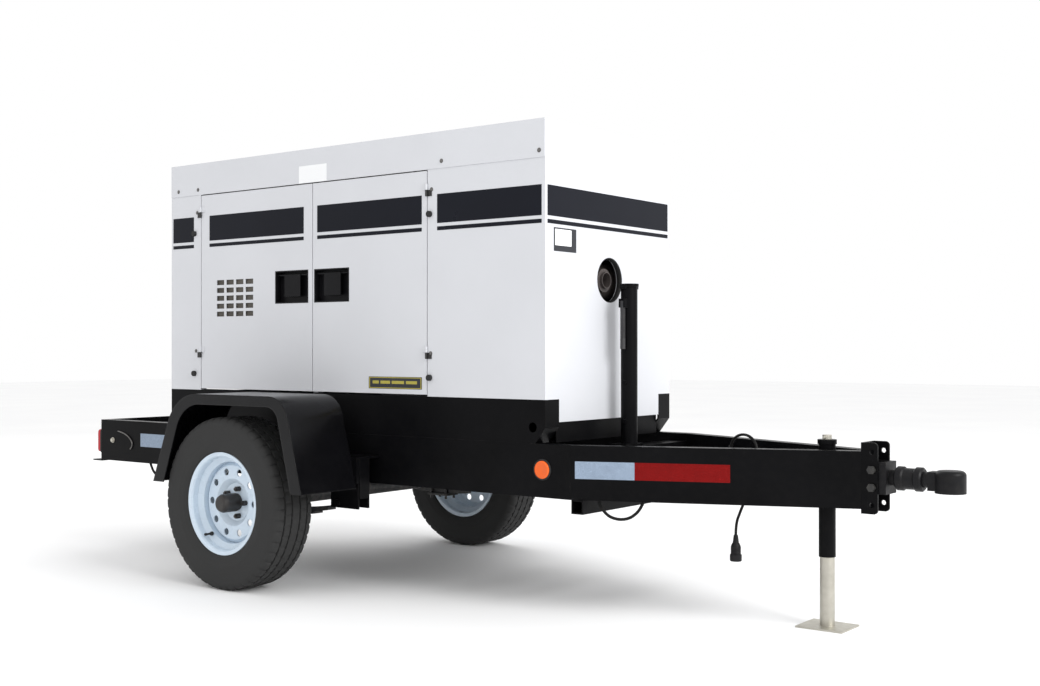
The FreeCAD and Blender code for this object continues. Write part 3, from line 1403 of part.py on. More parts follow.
def build_lamps():
    """Upright tail lamps behind the rail ends and round amber markers on the rails."""
    x = s.rail_rear_x - s.lip_wall
    y = (s.tail_rim - s.rail_half, s.tail_rim - s.rail_half + s.tail_width)
    z = (s.tail_z - s.tail_height / 2, s.tail_z + s.tail_height / 2)
    lens = box((x - s.tail_depth, x), y, z)
    rim = s.tail_rim
    backing = box((x - 14, x), (y[0] - rim, y[1] + rim), (z[0] - rim, z[1] + rim))
    hollow = box((x - 15, x + 1), y, z)
    node("tail_lamps", both(group(lens, cut(backing, hollow))))
    face = -s.rail_half
    marker = rod("y", (s.marker_x, face - s.marker_depth, s.marker_z), s.marker_radius, s.marker_depth)
    seal = ring("y", (s.marker_x, face - 6, s.marker_z), s.grommet_radius, s.marker_radius, 6)
    node("side_markers", both(group(marker, seal)))


def tube(points, radius):
    """A cord along straight runs joined by tangent arcs, each as large as its two runs allow."""
    corners = [Vector(*point) for point in points]
    edges = []
    start = corners[0]
    radii = []
    for before, corner, after in zip(corners, corners[1:], corners[2:]):
        back = (before - corner).normalize()
        ahead = (after - corner).normalize()
        turn = math.pi - back.getAngle(ahead)
        setback = 0.45 * min((before - corner).Length, (after - corner).Length)
        radii.append(setback / math.tan(turn / 2))
        enter = corner + back * setback
        leave = corner + ahead * setback
        bisector = (back + ahead).normalize()
        centre = corner + bisector * math.hypot(radii[-1], setback)
        middle = centre - bisector * radii[-1]
        edges.append(Part.LineSegment(start, enter).toShape())
        edges.append(Part.Arc(enter, middle, leave).toShape())
        start = leave
    edges.append(Part.LineSegment(start, corners[-1]).toShape())
    path = Part.Wire(edges)
    direction = corners[1] - corners[0]
    section = Part.Wire(Part.makeCircle(radius, corners[0], direction))
    solid = path.makePipeShell([section], True, False)
    expected = math.pi * radius * radius * path.Length
    print("cord: radii", [round(value) for value in radii], "volume share", round(solid.Volume / expected, 4))
    return solid


def cord_piece(label, routes, radius):
    """One or more cords as a sub-part; routes are given from the axle."""
    piece = doc.addObject("Part::Feature", "Cord")
    solids = [tube(route, radius.value) for route in routes]
    piece.Shape = solids[0] if len(solids) == 1 else Part.makeCompound(solids)
    place(piece, 0, 0, 0)
    return node(label, piece)


# Trailer lead: out of its gland on the tongue's crossmember, over in a hump, then down to the plug.
LEAD_ROUTE = [
    (1857, -58, 578),
    (1857, -58, 617),
    (1879, -63, 648),
    (1915, -67, 659),
    (1951, -72, 647),
    (1973, -79, 616),
    (1977, -87, 566),
    (1967, -98, 506),
    (1949, -109, 448),
    (1930, -120, 393),
    (1916, -130, 347),
    (1916, -130, 308),
]

# Harness loops that sag between the clips under the right rail.
LOOP_ROUTES = [
    [
        (1500, -372, 419),
        (1512, -368, 390),
        (1536, -360, 365),
        (1570, -346, 355),
        (1604, -331, 361),
        (1632, -318, 385),
        (1648, -310, 419),
    ],
    [
        (-1020, -405, 419),
        (-1000, -408, 390),
        (-965, -412, 366),
        (-922, -413, 364),
        (-886, -410, 386),
        (-862, -406, 419),
    ],
]


def build_wiring():
    """Harness loops, the trailer lead with its gland, and the plug."""
    cord_piece("wiring_harness", LOOP_ROUTES, s.loop_radius)
    cord_piece("trailer_lead", [LEAD_ROUTE], s.lead_radius)
    end = LEAD_ROUTE[-1]
    body = new_body(end[0], end[1], end[2])
    radius = s.plug_radius
    length = s.plug_length
    neck = s.lead_radius + 4
    points = [
        (0, 0), (neck, 0), (neck + 1, -16), (radius - 4, -28), (radius, -34), (radius, -length + 4),
        (radius - 3, -length), (0, -length),
    ]
    revolve(body, "xz", points)
    node("trailer_plug", body)


def check_pieces():
    """Stop if any feature failed, if a shape is empty or if a pocket took nothing away."""
    for piece in doc.Objects:
        if "Invalid" in piece.State or "Error" in piece.State:
            raise RuntimeError(piece.Label + " failed: " + str(piece.State))
        if piece.TypeId in ("PartDesign::Pocket", "PartDesign::Groove"):
            if piece.Shape.Volume >= piece.BaseFeature.Shape.Volume - 1:
                raise RuntimeError(piece.Label + " cuts nothing")
    for label, piece in NODES.items():
        if piece.Shape.isNull() or not piece.Shape.isValid():
            raise RuntimeError(label + " has no valid shape")
        if not piece.Shape.Solids:
            raise RuntimeError(label + " has no solid")


def export_pieces():
    """Write each sub-part to a file of its own."""
    os.makedirs("parts", exist_ok=True)
    for label, piece in NODES.items():
        piece.Shape.exportStep("parts/" + label + ".step")
    print(len(NODES), "sub-parts written")


def main():
    """Build every sub-part in order, check it and write it."""
    build_frame_rails()
    build_tongue_rails()
    build_crossmembers()
    build_tongue_crossbeam()
    build_hitch_channel()
    build_hitch_bolts()
    build_coupler_body()
    build_coupler_collar()
    build_jack()
    build_post()
    build_fenders()
    build_suspension_rails()
    build_axle_beam()
    build_leaf_springs()
    build_u_bolts()
    build_tyre()
    build_rim()
    build_hub()
    build_skid_base()
    build_fuel_tank()
    build_engine_mounts()
    build_roof()
    build_side_panels()
    build_front_panel()
    build_rear_panel()
    build_doors()
    build_door_hinges()
    build_door_stops()
    build_engine()
    build_generator()
    build_fan()
    build_radiator()
    build_muffler()
    build_air_cleaner()
    build_battery()
    build_control_panel()
    build_breaker_lever()
    build_stop_button()
    build_rear_covers()
    build_lamps()
    build_wiring()
    doc.recompute()
    check_pieces()
    export_pieces()


main()
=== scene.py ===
"""Looks of a towable generator set: finishes, trim, lamps, tyres, lead, light and camera."""
import logging
import math
from dataclasses import dataclass
from enum import Enum
from typing import Callable, Iterable, Sequence

import bmesh
import bpy
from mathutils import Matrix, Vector


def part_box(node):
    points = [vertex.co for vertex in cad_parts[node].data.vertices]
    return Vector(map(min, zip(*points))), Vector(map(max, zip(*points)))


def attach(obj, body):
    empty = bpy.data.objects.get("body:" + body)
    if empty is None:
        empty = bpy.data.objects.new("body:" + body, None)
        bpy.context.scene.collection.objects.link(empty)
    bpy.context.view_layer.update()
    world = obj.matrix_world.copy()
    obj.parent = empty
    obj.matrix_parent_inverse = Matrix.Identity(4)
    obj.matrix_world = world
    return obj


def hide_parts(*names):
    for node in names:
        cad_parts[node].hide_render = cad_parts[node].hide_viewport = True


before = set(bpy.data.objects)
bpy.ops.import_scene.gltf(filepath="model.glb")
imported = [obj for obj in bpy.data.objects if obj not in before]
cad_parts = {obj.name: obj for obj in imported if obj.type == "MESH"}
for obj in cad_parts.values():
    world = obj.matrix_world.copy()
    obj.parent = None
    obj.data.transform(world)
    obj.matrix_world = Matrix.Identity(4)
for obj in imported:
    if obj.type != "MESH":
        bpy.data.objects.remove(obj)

LOG = logging.getLogger("generator")
MM = 0.001
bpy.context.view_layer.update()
AXLE_X = sum(corner.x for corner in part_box("axle_beam")) / 2
FRONT_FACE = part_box("front_panel")[1].x
SIDE_FACE = round(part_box("frame_rails")[1].y / MM, 1)
SKIRT_FACE = round(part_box("roof_panel")[1].y / MM, 1)
UP, DOWN = Vector((0, 0, 1)), Vector((0, 0, -1))
AHEAD, ASTERN = Vector((1, 0, 0)), Vector((-1, 0, 0))
LEFTWARD, RIGHTWARD = Vector((0, 1, 0)), Vector((0, -1, 0))


def at(x: float, y: float, z: float) -> Vector:
    """A point given in millimetres, with x measured from the axle."""
    return Vector((AXLE_X + x * MM, y * MM, z * MM))


class Side(Enum):
    """The two sides of the trailer, by the sign of Y."""

    LEFT = 1
    RIGHT = -1

    @property
    def tag(self) -> str:
        """The side's name, as piece names have it."""
        return self.name.lower()

    @property
    def out(self) -> Vector:
        """The way this side faces."""
        return Vector((0, self.value, 0))

    @property
    def across(self) -> Vector:
        """The direction of width for a plate that stands on this side and faces out."""
        return Vector((-self.value, 0, 0))


# ---------------------------------------------------------------- finishes


class Graph:
    """The node tree of one material, with short calls for the nodes it uses."""

    def __init__(self, name: str) -> None:
        """Makes an empty material with a Principled shader.

        Args:
            name: The material's name.
        """
        self.material = bpy.data.materials.new(name)
        self.material.use_nodes = True
        self.tree = self.material.node_tree
        self.tree.nodes.clear()
        self.shader = self.add("ShaderNodeBsdfPrincipled")
        output = self.add("ShaderNodeOutputMaterial")
        self.link(self.shader.outputs[0], output.inputs[0])
        self.place = self.add("ShaderNodeTexCoord").outputs["Object"]

    def add(self, kind: str, **settings) -> bpy.types.Node:
        """Adds a node.

        Args:
            kind: The node's type name.
            settings: Its attributes.

        Returns:
            The new node.
        """
        node = self.tree.nodes.new(kind)
        for key, value in settings.items():
            setattr(node, key, value)
        return node

    def link(self, source, target) -> None:
        """Joins two sockets."""
        self.tree.links.new(source, target)

    def feed(self, socket, value) -> None:
        """Gives a socket a link or a plain value."""
        if isinstance(value, bpy.types.NodeSocket):
            self.link(value, socket)
        else:
            socket.default_value = value

    def noise(self, scale: float, detail: float = 3.0, stretch: Sequence[float] = (1, 1, 1)):
        """Noise on the piece's own coordinates.

        Args:
            scale: Features to the metre.
            detail: Octaves.
            stretch: Scale along each axis.

        Returns:
            The factor socket.
        """
        turned = self.add("ShaderNodeMapping")
        turned.inputs["Scale"].default_value = stretch
        self.link(self.place, turned.inputs["Vector"])
        node = self.add("ShaderNodeTexNoise")
        self.link(turned.outputs[0], node.inputs["Vector"])
        node.inputs["Scale"].default_value = scale
        node.inputs["Detail"].default_value = detail
        return node.outputs[0]

    def cells(self, scale: float, feature: str = "F1"):
        """Voronoi cells on the piece's own coordinates."""
        node = self.add("ShaderNodeTexVoronoi", feature=feature)
        self.link(self.place, node.inputs["Vector"])
        node.inputs["Scale"].default_value = scale
        return node.outputs[0]

    def calc(self, operation: str, first, second=0.0):
        """One Math node."""
        node = self.add("ShaderNodeMath", operation=operation, use_clamp=False)
        self.feed(node.inputs[0], first)
        self.feed(node.inputs[1], second)
        return node.outputs[0]

    def spread(self, factor, low: float, high: float, to_low: float = 0.0, to_high: float = 1.0):
        """Maps a range onto another, held at its ends."""
        node = self.add("ShaderNodeMapRange")
        self.feed(node.inputs[0], factor)
        for socket, value in zip(list(node.inputs)[1:5], (low, high, to_low, to_high)):
            socket.default_value = value
        return node.outputs[0]

    def mix(self, factor, first, second):
        """Mixes two colours.

        Args:
            factor: The share of the second colour.
            first: Colour socket or colour.
            second: Colour socket or colour.

        Returns:
            The mixed colour's socket.
        """
        node = self.add("ShaderNodeMix", data_type="RGBA")
        sockets = [s for s in node.inputs if s.enabled]
        self.feed(sockets[0], factor)
        for socket, colour in zip(sockets[1:], (first, second)):
            self.feed(socket, colour if isinstance(colour, bpy.types.NodeSocket) else (*colour, 1.0))
        return [s for s in node.outputs if s.enabled][0]

    def height(self) -> bpy.types.NodeSocket:
        """The height above the ground, in metres."""
        split = self.add("ShaderNodeSeparateXYZ")
        self.link(self.place, split.inputs[0])
        return split.outputs[2]

    def edges(self, radius: float):
        """The rounded normal of sharp edges, and a mask of where they are.

        Args:
            radius: The radius, in metres.

        Returns:
            The normal's socket and the mask's socket.
        """
        bevel = self.add("ShaderNodeBevel", samples=4)
        bevel.inputs["Radius"].default_value = radius
        plain = self.add("ShaderNodeNewGeometry")
        dot = self.add("ShaderNodeVectorMath", operation="DOT_PRODUCT")
        self.link(bevel.outputs[0], dot.inputs[0])
        self.link(plain.outputs["Normal"], dot.inputs[1])
        return bevel.outputs[0], self.spread(dot.outputs["Value"], 0.97, 0.85)

    def bump(self, height, depth: float, normal=None):
        """Raises the surface by a height pattern.

        Args:
            height: The pattern, 0 to 1.
            depth: Its full height, in metres.
            normal: A normal to start from.

        Returns:
            The normal's socket.
        """
        node = self.add("ShaderNodeBump")
        node.inputs["Distance"].default_value = depth
        self.link(height, node.inputs["Height"])
        if normal is not None:
            self.link(normal, node.inputs["Normal"])
        return node.outputs[0]


@dataclass(frozen=True)
class Finish:
    """A surface finish: colour, gloss, grain, worn edges and dust.

    Attributes:
        name: The material's name.
        colour: Linear base colour.
        slot: The record's material slot; not used.
        shade: How far patches differ from the base colour.
        rough: Middle roughness.
        rough_spread: How far roughness varies.
        metal: 1 for bare metal.
        grain: Grain features to the metre.
        grain_depth: Height of the grain, in metres.
        wear: Share of edges rubbed through.
        worn: Colour under the finish.
        dust: Dust that gathers low down.
        edge: Radius that edges look rounded to, in metres.
        coat: Clear coat weight.
        specular: Strength of its reflections, 0.5 for bare gloss.
        stretch: Direction of brushing or casting lines.
    """

    name: str
    colour: tuple[float, float, float]
    slot: str = ""
    shade: float = 0.12
    rough: float = 0.4
    rough_spread: float = 0.1
    metal: float = 0.0
    grain: float = 700.0
    grain_depth: float = 0.00006
    wear: float = 0.25
    worn: tuple[float, float, float] = (0.16, 0.15, 0.14)
    dust: float = 0.15
    edge: float = 0.0015
    coat: float = 0.0
    specular: float = 0.5
    stretch: tuple[float, float, float] = (1.0, 1.0, 1.0)

    def build(self) -> bpy.types.Material:
        """The material, made once."""
        found = bpy.data.materials.get(self.name)
        if found:
            return found
        g = Graph(self.name)
        patches = g.noise(3.1, 5.0)
        specks = g.noise(45.0, 4.0)
        dark = tuple(c * (1 - self.shade) for c in self.colour)
        light = tuple(min(1.0, c * (1 + self.shade)) for c in self.colour)
        colour = g.mix(g.spread(patches, 0.35, 0.65), dark, light)
        dusty = g.calc("MULTIPLY", g.spread(g.height(), 0.9, 0.05, 0.15, 1.0),
                       g.spread(specks, 0.4, 0.75, 0.0, self.dust))
        colour = g.mix(dusty, colour, (0.30, 0.27, 0.23))
        normal, mask = g.edges(self.edge)
        rubbed = g.calc("MULTIPLY", mask, g.spread(g.noise(28.0, 6.0), 0.5, 0.66, 0.0, self.wear))
        colour = g.mix(rubbed, colour, self.worn)
        g.link(colour, g.shader.inputs["Base Color"])
        gloss = g.spread(g.noise(9.0, 4.0), 0.3, 0.7,
                         self.rough - self.rough_spread, self.rough + self.rough_spread)
        gloss = g.calc("ADD", gloss, g.calc("MULTIPLY", dusty, 0.5))
        g.link(gloss, g.shader.inputs["Roughness"])
        g.shader.inputs["Metallic"].default_value = self.metal
        g.shader.inputs["Coat Weight"].default_value = self.coat
        g.shader.inputs["Coat Roughness"].default_value = 0.12
        g.shader.inputs["Specular IOR Level"].default_value = self.specular
        grain = g.noise(self.grain, 2.0, self.stretch)
        g.link(g.bump(grain, self.grain_depth, normal), g.shader.inputs["Normal"])
        return g.material


@dataclass(frozen=True)
class Lens(Finish):
    """A moulded reflective lens, with a grid of small prisms under its face, and a faint painted glow in its
    own colour.
    """

    prism: float = 260.0

    def build(self) -> bpy.types.Material:
        """The lens material, made once."""
        found = bpy.data.materials.get(self.name)
        if found:
            return found
        g = Graph(self.name)
        cells = g.cells(self.prism)
        dark = tuple(c * 0.55 for c in self.colour)
        colour = g.mix(g.spread(cells, 0.1, 0.6), self.colour, dark)
        g.link(colour, g.shader.inputs["Base Color"])
        g.link(g.spread(g.noise(60.0), 0.3, 0.7, 0.08, 0.22), g.shader.inputs["Roughness"])
        # Painted glow: the lens gives off a faint light in its own colour, though nothing behind it is lit.
        g.link(colour, g.shader.inputs["Emission Color"])
        g.shader.inputs["Emission Strength"].default_value = 0.25
        g.shader.inputs["Coat Weight"].default_value = 0.15
        g.shader.inputs["Subsurface Weight"].default_value = 0.1
        g.shader.inputs["Subsurface Radius"].default_value = (0.01, 0.003, 0.002)
        g.link(g.bump(cells, 0.0008), g.shader.inputs["Normal"])
        return g.material


@dataclass(frozen=True)
class Tape(Finish):
    """Reflective tape with a honeycomb of sealed cells."""

    cell: float = 170.0

    def build(self) -> bpy.types.Material:
        """The tape material, made once."""
        found = bpy.data.materials.get(self.name)
        if found:
            return found
        g = Graph(self.name)
        walls = g.spread(g.cells(self.cell, "DISTANCE_TO_EDGE"), 0.02, 0.07)
        tone = g.mix(g.spread(g.noise(30.0), 0.3, 0.7), tuple(c * 0.85 for c in self.colour), self.colour)
        pale = tuple(min(1.0, c * 1.25 + 0.002) for c in self.colour)
        g.link(g.mix(walls, pale, tone), g.shader.inputs["Base Color"])
        g.link(g.spread(g.noise(14.0), 0.3, 0.7, 0.28, 0.45), g.shader.inputs["Roughness"])
        g.shader.inputs["Specular IOR Level"].default_value = self.specular
        g.link(g.bump(walls, 0.0002), g.shader.inputs["Normal"])
        return g.material


FRAME_BLACK = Finish("frame_black_paint", (0.0026, 0.0026, 0.0032), "frame_black", 0.25, 0.36, 0.08,
                     grain=420.0, grain_depth=0.00009, wear=0.22, worn=(0.07, 0.065, 0.06), dust=0.008,
                     edge=0.002, specular=0.07)
CABINET_WHITE = Finish("cabinet_white_paint", (0.625, 0.635, 0.665), "cabinet_white", 0.015, 0.33, 0.05,
                       grain=600.0, grain_depth=0.00005, wear=0.06, worn=(0.35, 0.34, 0.33), dust=0.02,
                       specular=0.3)
FENDER_BLACK = Finish("fender_black_paint", (0.0030, 0.0030, 0.0038), "fender_black", 0.2, 0.22, 0.06,
                      grain=500.0, grain_depth=0.0001, wear=0.15, worn=(0.06, 0.055, 0.05), dust=0.008,
                      edge=0.006, specular=0.22)
WHEEL_WHITE = Finish("wheel_white_paint", (0.60, 0.70, 0.80), "wheel_white", 0.03, 0.28, 0.06,
                     wear=0.12, worn=(0.3, 0.2, 0.14), dust=0.04)
TYRE_RUBBER = Finish("tyre_rubber", (0.0045, 0.0045, 0.0055), "tyre_rubber", 0.2, 0.68, 0.08, grain=900.0,
                     grain_depth=0.00012, wear=0.3, worn=(0.014, 0.013, 0.012), dust=0.01, specular=0.06)
HUB_STEEL = Finish("hub_cast_black", (0.016, 0.013, 0.012), "hub_steel", 0.3, 0.42, 0.1,
                   grain=500.0, grain_depth=0.0002, wear=0.5, worn=(0.12, 0.06, 0.035), dust=0.06)
ZINC = Finish("zinc_plate", (0.52, 0.50, 0.44), "zinc_steel", 0.18, 0.42, 0.12, metal=0.85,
              grain=300.0, wear=0.3, worn=(0.35, 0.27, 0.18), dust=0.25, stretch=(1.0, 1.0, 0.08))
SPRING_STEEL = Finish("spring_painted", (0.020, 0.020, 0.022), "spring_steel", 0.3, 0.5, 0.1,
                      wear=0.4, worn=(0.12, 0.08, 0.06), dust=0.25)
COUPLER_IRON = Finish("coupler_cast_black", (0.006, 0.006, 0.007), "coupler_iron", 0.25, 0.42, 0.1,
                      grain=350.0, grain_depth=0.0003, wear=0.4, worn=(0.08, 0.07, 0.06), dust=0.03,
                      specular=0.15)
BLACK_RUBBER = Finish("black_rubber", (0.007, 0.007, 0.007), "black_rubber", 0.2, 0.62, 0.08, dust=0.03,
                      wear=0.1, worn=(0.02, 0.02, 0.02), specular=0.12)
LATCH_BLACK = Finish("latch_black_paint", (0.005, 0.005, 0.006), "latch_black", 0.2, 0.38, 0.08,
                     wear=0.3, worn=(0.08, 0.075, 0.07), dust=0.02, specular=0.12)
ENGINE_PAINT = Finish("engine_grey_paint", (0.10, 0.11, 0.12), "engine_paint", 0.25, 0.45, 0.1,
                      grain=260.0, grain_depth=0.0004, wear=0.3, dust=0.35)
GENERATOR_PAINT = Finish("generator_blue_grey", (0.05, 0.07, 0.10), "generator_paint", 0.2, 0.45, 0.1,
                         grain=260.0, grain_depth=0.0004, dust=0.3)
FAN_PLASTIC = Finish("fan_plastic", (0.03, 0.03, 0.03), "fan_plastic", 0.2, 0.55)
RADIATOR_ALLOY = Finish("radiator_core", (0.10, 0.10, 0.10), "radiator_alloy", 0.4, 0.5, metal=0.6,
                        grain=420.0, grain_depth=0.0012, stretch=(0.05, 1.0, 0.05))
MUFFLER_STEEL = Finish("muffler_heat_stained", (0.055, 0.045, 0.042), "muffler_steel", 0.45, 0.62, 0.15,
                       grain=200.0, grain_depth=0.0003, wear=0.6, worn=(0.12, 0.10, 0.16), dust=0.1)
FILTER_BLACK = Finish("filter_plastic", (0.02, 0.02, 0.02), "filter_black", 0.2, 0.5)
BATTERY_CASE = Finish("battery_case", (0.02, 0.02, 0.022), "battery_case", 0.15, 0.42)
TANK_PLASTIC = Finish("tank_plastic", (0.03, 0.03, 0.03), "tank_plastic", 0.2, 0.5)
PANEL_GREY = Finish("panel_grey_paint", (0.28, 0.29, 0.30), "panel_grey", 0.06, 0.42)
LEVER_BLACK = Finish("lever_plastic", (0.02, 0.02, 0.02), "lever_black", 0.1, 0.2)
BUTTON_RED = Finish("button_red_plastic", (0.55, 0.01, 0.01), "button_red", 0.08, 0.22)
CABLE_BLACK = Finish("cable_sheath", (0.006, 0.006, 0.006), "cable_black", 0.2, 0.48, grain=1500.0,
                     dust=0.03, specular=0.15)
PLUG_BLACK = Finish("plug_moulding", (0.008, 0.008, 0.009), "plug_black", 0.15, 0.4, grain=1200.0,
                    dust=0.03, specular=0.2)
BAND_BLACK = Finish("band_vinyl", (0.006, 0.007, 0.012), "latch_black", 0.08, 0.3, 0.03,
                    grain=900.0, grain_depth=0.00002, wear=0.0, dust=0.005, edge=0.0004, specular=0.12)
LABEL_DARK = Finish("label_dark_vinyl", (0.012, 0.014, 0.02), "latch_black", 0.06, 0.35, wear=0.0,
                    dust=0.03, edge=0.0003)
LABEL_PALE = Finish("label_pale_vinyl", (0.86, 0.87, 0.88), "cabinet_white", 0.02, 0.35, wear=0.0,
                    dust=0.02, edge=0.0003)
LABEL_YELLOW = Finish("label_yellow_vinyl", (0.42, 0.36, 0.05), "lens_amber", 0.1, 0.35, wear=0.0,
                      dust=0.05, edge=0.0003)
SCREW_STEEL = Finish("screw_zinc", (0.16, 0.155, 0.15), "zinc_steel", 0.2, 0.35, 0.1, metal=0.8,
                     dust=0.2, edge=0.0004)
BLACK_OXIDE = Finish("screw_black_oxide", (0.02, 0.02, 0.02), "hub_steel", 0.2, 0.4, metal=0.3,
                     wear=0.5, edge=0.0005)
FOAM = Finish("acoustic_foam", (0.030, 0.030, 0.032), "black_rubber", 0.3, 0.9, 0.05,
              grain=300.0, grain_depth=0.0012, wear=0.0, dust=0.3)
SCREEN_BROWN = Finish("vent_screen", (0.075, 0.066, 0.054), "latch_black", 0.45, 0.6, grain=420.0,
                      grain_depth=0.001)
LENS_RED = Lens("lens_red", (0.40, 0.006, 0.008), "lens_red")
LENS_AMBER = Lens("lens_amber", (0.72, 0.060, 0.003), "lens_amber", prism=200.0)
TAPE_RED = Tape("tape_red", (0.175, 0.0035, 0.0035), "lens_red", specular=0.08)
TAPE_SILVER = Tape("tape_silver", (0.25, 0.315, 0.41), "zinc_steel", specular=0.2)

DRESSED: tuple[tuple[Finish, str], ...] = (
    (FRAME_BLACK, "frame_rails tongue_rails crossmembers tongue_crossbeam hitch_channel "
                  "jack_outer_tube carrier_post suspension_rails skid_base"),
    (BLACK_OXIDE, "hitch_bolts axle_u_bolts door_hinges"),
    (COUPLER_IRON, "coupler_body coupler_collar"),
    (ZINC, "jack_leg jack_shaft"),
    (SPRING_STEEL, "post_lever axle_beam leaf_springs"),
    (FENDER_BLACK, "fender_left fender_right"),
    (WHEEL_WHITE, "rim_left rim_right"),
    (HUB_STEEL, "hub_left hub_right"),
    (TANK_PLASTIC, "fuel_tank"),
    (BLACK_RUBBER, "engine_mounts door_stops"),
    (CABINET_WHITE, "roof_panel side_panels_left side_panels_right front_panel rear_panel "
                    "door_rear_left door_rear_right door_front_left door_front_right control_door "
                    "terminal_cover"),
    (LATCH_BLACK, "latch_rear_left latch_rear_right latch_front_left latch_front_right"),
    (ENGINE_PAINT, "engine_block"),
    (GENERATOR_PAINT, "generator_housing"),
    (FAN_PLASTIC, "cooling_fan"),
    (RADIATOR_ALLOY, "radiator"),
    (MUFFLER_STEEL, "muffler"),
    (FILTER_BLACK, "air_cleaner"),
    (BATTERY_CASE, "battery"),
    (PANEL_GREY, "control_panel"),
    (LEVER_BLACK, "breaker_lever"),
    (BUTTON_RED, "stop_button"),
    (CABLE_BLACK, "wiring_harness"),
)


# ---------------------------------------------------------------- mesh tools


def finish_piece(mesh: bpy.types.Mesh, name: str, finish: Finish, body: str,
                 smooth: bool = False) -> bpy.types.Object:
    """Links a mesh as a piece that rides on a body.

    Args:
        mesh: The mesh, in the row frame.
        name: The piece's name.
        finish: Its finish.
        body: The body it rides on.
        smooth: Whether its faces are smooth shaded.

    Returns:
        The piece.
    """
    piece = bpy.data.objects.new(name, mesh)
    bpy.context.scene.collection.objects.link(piece)
    mesh.materials.clear()
    mesh.materials.append(finish.build())
    mesh.polygons.foreach_set("use_smooth", [smooth] * len(mesh.polygons))
    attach(piece, body)
    LOG.info("%s rides on %s, %d faces", name, body, len(mesh.polygons))
    return piece


class Shape:
    """A mesh under construction, with the forms that the trim is made of."""

    def __init__(self) -> None:
        """Starts empty."""
        self.mesh = bmesh.new()

    def slab(self, origin: Vector, across: Vector, up: Vector, width: float, height: float,
             thick: float, corner: float = 0.002, bevel: float = 0.0) -> None:
        """A plate with rounded corners, standing on a face.

        Args:
            origin: The middle of the plate, on the face.
            across: Unit direction of its width.
            up: Unit direction of its height.
            width: Full width.
            height: Full height.
            thick: Thickness, along across x up.
            corner: Corner radius.
            bevel: How far the front is drawn in.
        """
        out = across.cross(up)
        rings = []
        for level, inset in ((0.0, 0.0), (thick - bevel, 0.0), (thick, bevel)):
            ring = []
            for sx, sy, start in ((1, 1, 0), (-1, 1, 90), (-1, -1, 180), (1, -1, 270)):
                for step in range(5):
                    a = math.radians(start + step * 22.5)
                    x = sx * (width / 2 - corner) + (corner - inset) * math.cos(a)
                    y = sy * (height / 2 - corner) + (corner - inset) * math.sin(a)
                    ring.append(self.mesh.verts.new(origin + across * x + up * y + out * level))
            rings.append(ring)
            if bevel == 0.0 and level > 0:
                break
        self.skin(rings, True)
        self.mesh.faces.new(list(reversed(rings[0])))
        self.mesh.faces.new(rings[-1])

    def skin(self, rings: list, closed: bool) -> None:
        """Joins rings of points with quads.

        Args:
            rings: Lists of vertices of equal length.
            closed: Whether each ring closes on itself.
        """
        count = len(rings[0])
        for first, second in zip(rings, rings[1:]):
            for i in range(count if closed else count - 1):
                j = (i + 1) % count
                self.mesh.faces.new((first[i], first[j], second[j], second[i]))

    def lathe(self, origin: Vector, axis: Vector, profile: Sequence[tuple[float, float]],
              steps: int = 48, shift: Callable[[int, int], float] | None = None) -> None:
        """Turns a profile about an axis and closes its ends.

        Args:
            origin: The axis's foot.
            axis: Unit direction of the axis.
            profile: (radius, distance along the axis) in metres, from the back to the front.
            steps: Facets round the axis.
            shift: Added to the radius, by step and profile index.
        """
        side = axis.orthogonal().normalized()
        other = axis.cross(side)
        rings = []
        for index, (radius, along) in enumerate(profile):
            ring = []
            for step in range(steps):
                a = 2 * math.pi * step / steps
                r = radius + (shift(step, index) if shift else 0.0)
                ring.append(self.mesh.verts.new(
                    origin + axis * along + (side * math.cos(a) + other * math.sin(a)) * r))
            rings.append(ring)
        self.skin(rings, True)
        if profile[0] != profile[-1]:
            self.mesh.faces.new(list(reversed(rings[0])))
            self.mesh.faces.new(rings[-1])
        else:
            for a, b in zip(rings[0], rings[-1]):
                bmesh.ops.pointmerge(self.mesh, verts=[a, b], merge_co=a.co)

    def tube(self, points: Sequence[Vector], radius: float, steps: int = 12,
             swell: Callable[[float], float] | None = None) -> None:
        """A tube that follows points, closed at both ends.

        Args:
            points: The centre line.
            radius: Its radius.
            steps: Facets round it.
            swell: Added to the radius, by distance along it.
        """
        rings, side, gone = [], None, 0.0
        for i, point in enumerate(points):
            before, after = points[max(i - 1, 0)], points[min(i + 1, len(points) - 1)]
            ahead = (after - before).normalized()
            side = ahead.orthogonal() if side is None else side - ahead * side.dot(ahead)
            side.normalize()
            other = ahead.cross(side)
            gone += (point - before).length
            r = radius + (swell(gone) if swell else 0.0)
            rings.append([self.mesh.verts.new(point + (side * math.cos(a) + other * math.sin(a)) * r)
                          for a in (2 * math.pi * k / steps for k in range(steps))])
        self.skin(rings, True)
        self.mesh.faces.new(list(reversed(rings[0])))
        self.mesh.faces.new(rings[-1])

    def done(self, name: str) -> bpy.types.Mesh:
        """The finished mesh, with its normals outwards."""
        bmesh.ops.recalc_face_normals(self.mesh, faces=self.mesh.faces)
        made = bpy.data.meshes.new(name)
        self.mesh.to_mesh(made)
        self.mesh.free()
        return made

    def piece(self, name: str, finish: Finish, body: str, smooth: bool = False) -> bpy.types.Object:
        """The finished mesh as a piece that rides on a body."""
        return finish_piece(self.done(name), name, finish, body, smooth)


def smooth_path(points: Iterable[Vector], dense: int = 10) -> list[Vector]:
    """Points read from the smooth spline through a route's control points.

    Args:
        points: The control points.
        dense: Points for each span.

    Returns:
        The points along it.
    """
    curve = route_curve("route_reader", list(points), dense)
    reader = bpy.data.objects.new("route_reader", curve)
    mesh = bpy.data.meshes.new_from_object(reader)
    found = [v.co.copy() for v in mesh.vertices]
    bpy.data.objects.remove(reader)
    bpy.data.curves.remove(curve)
    bpy.data.meshes.remove(mesh)
    return found


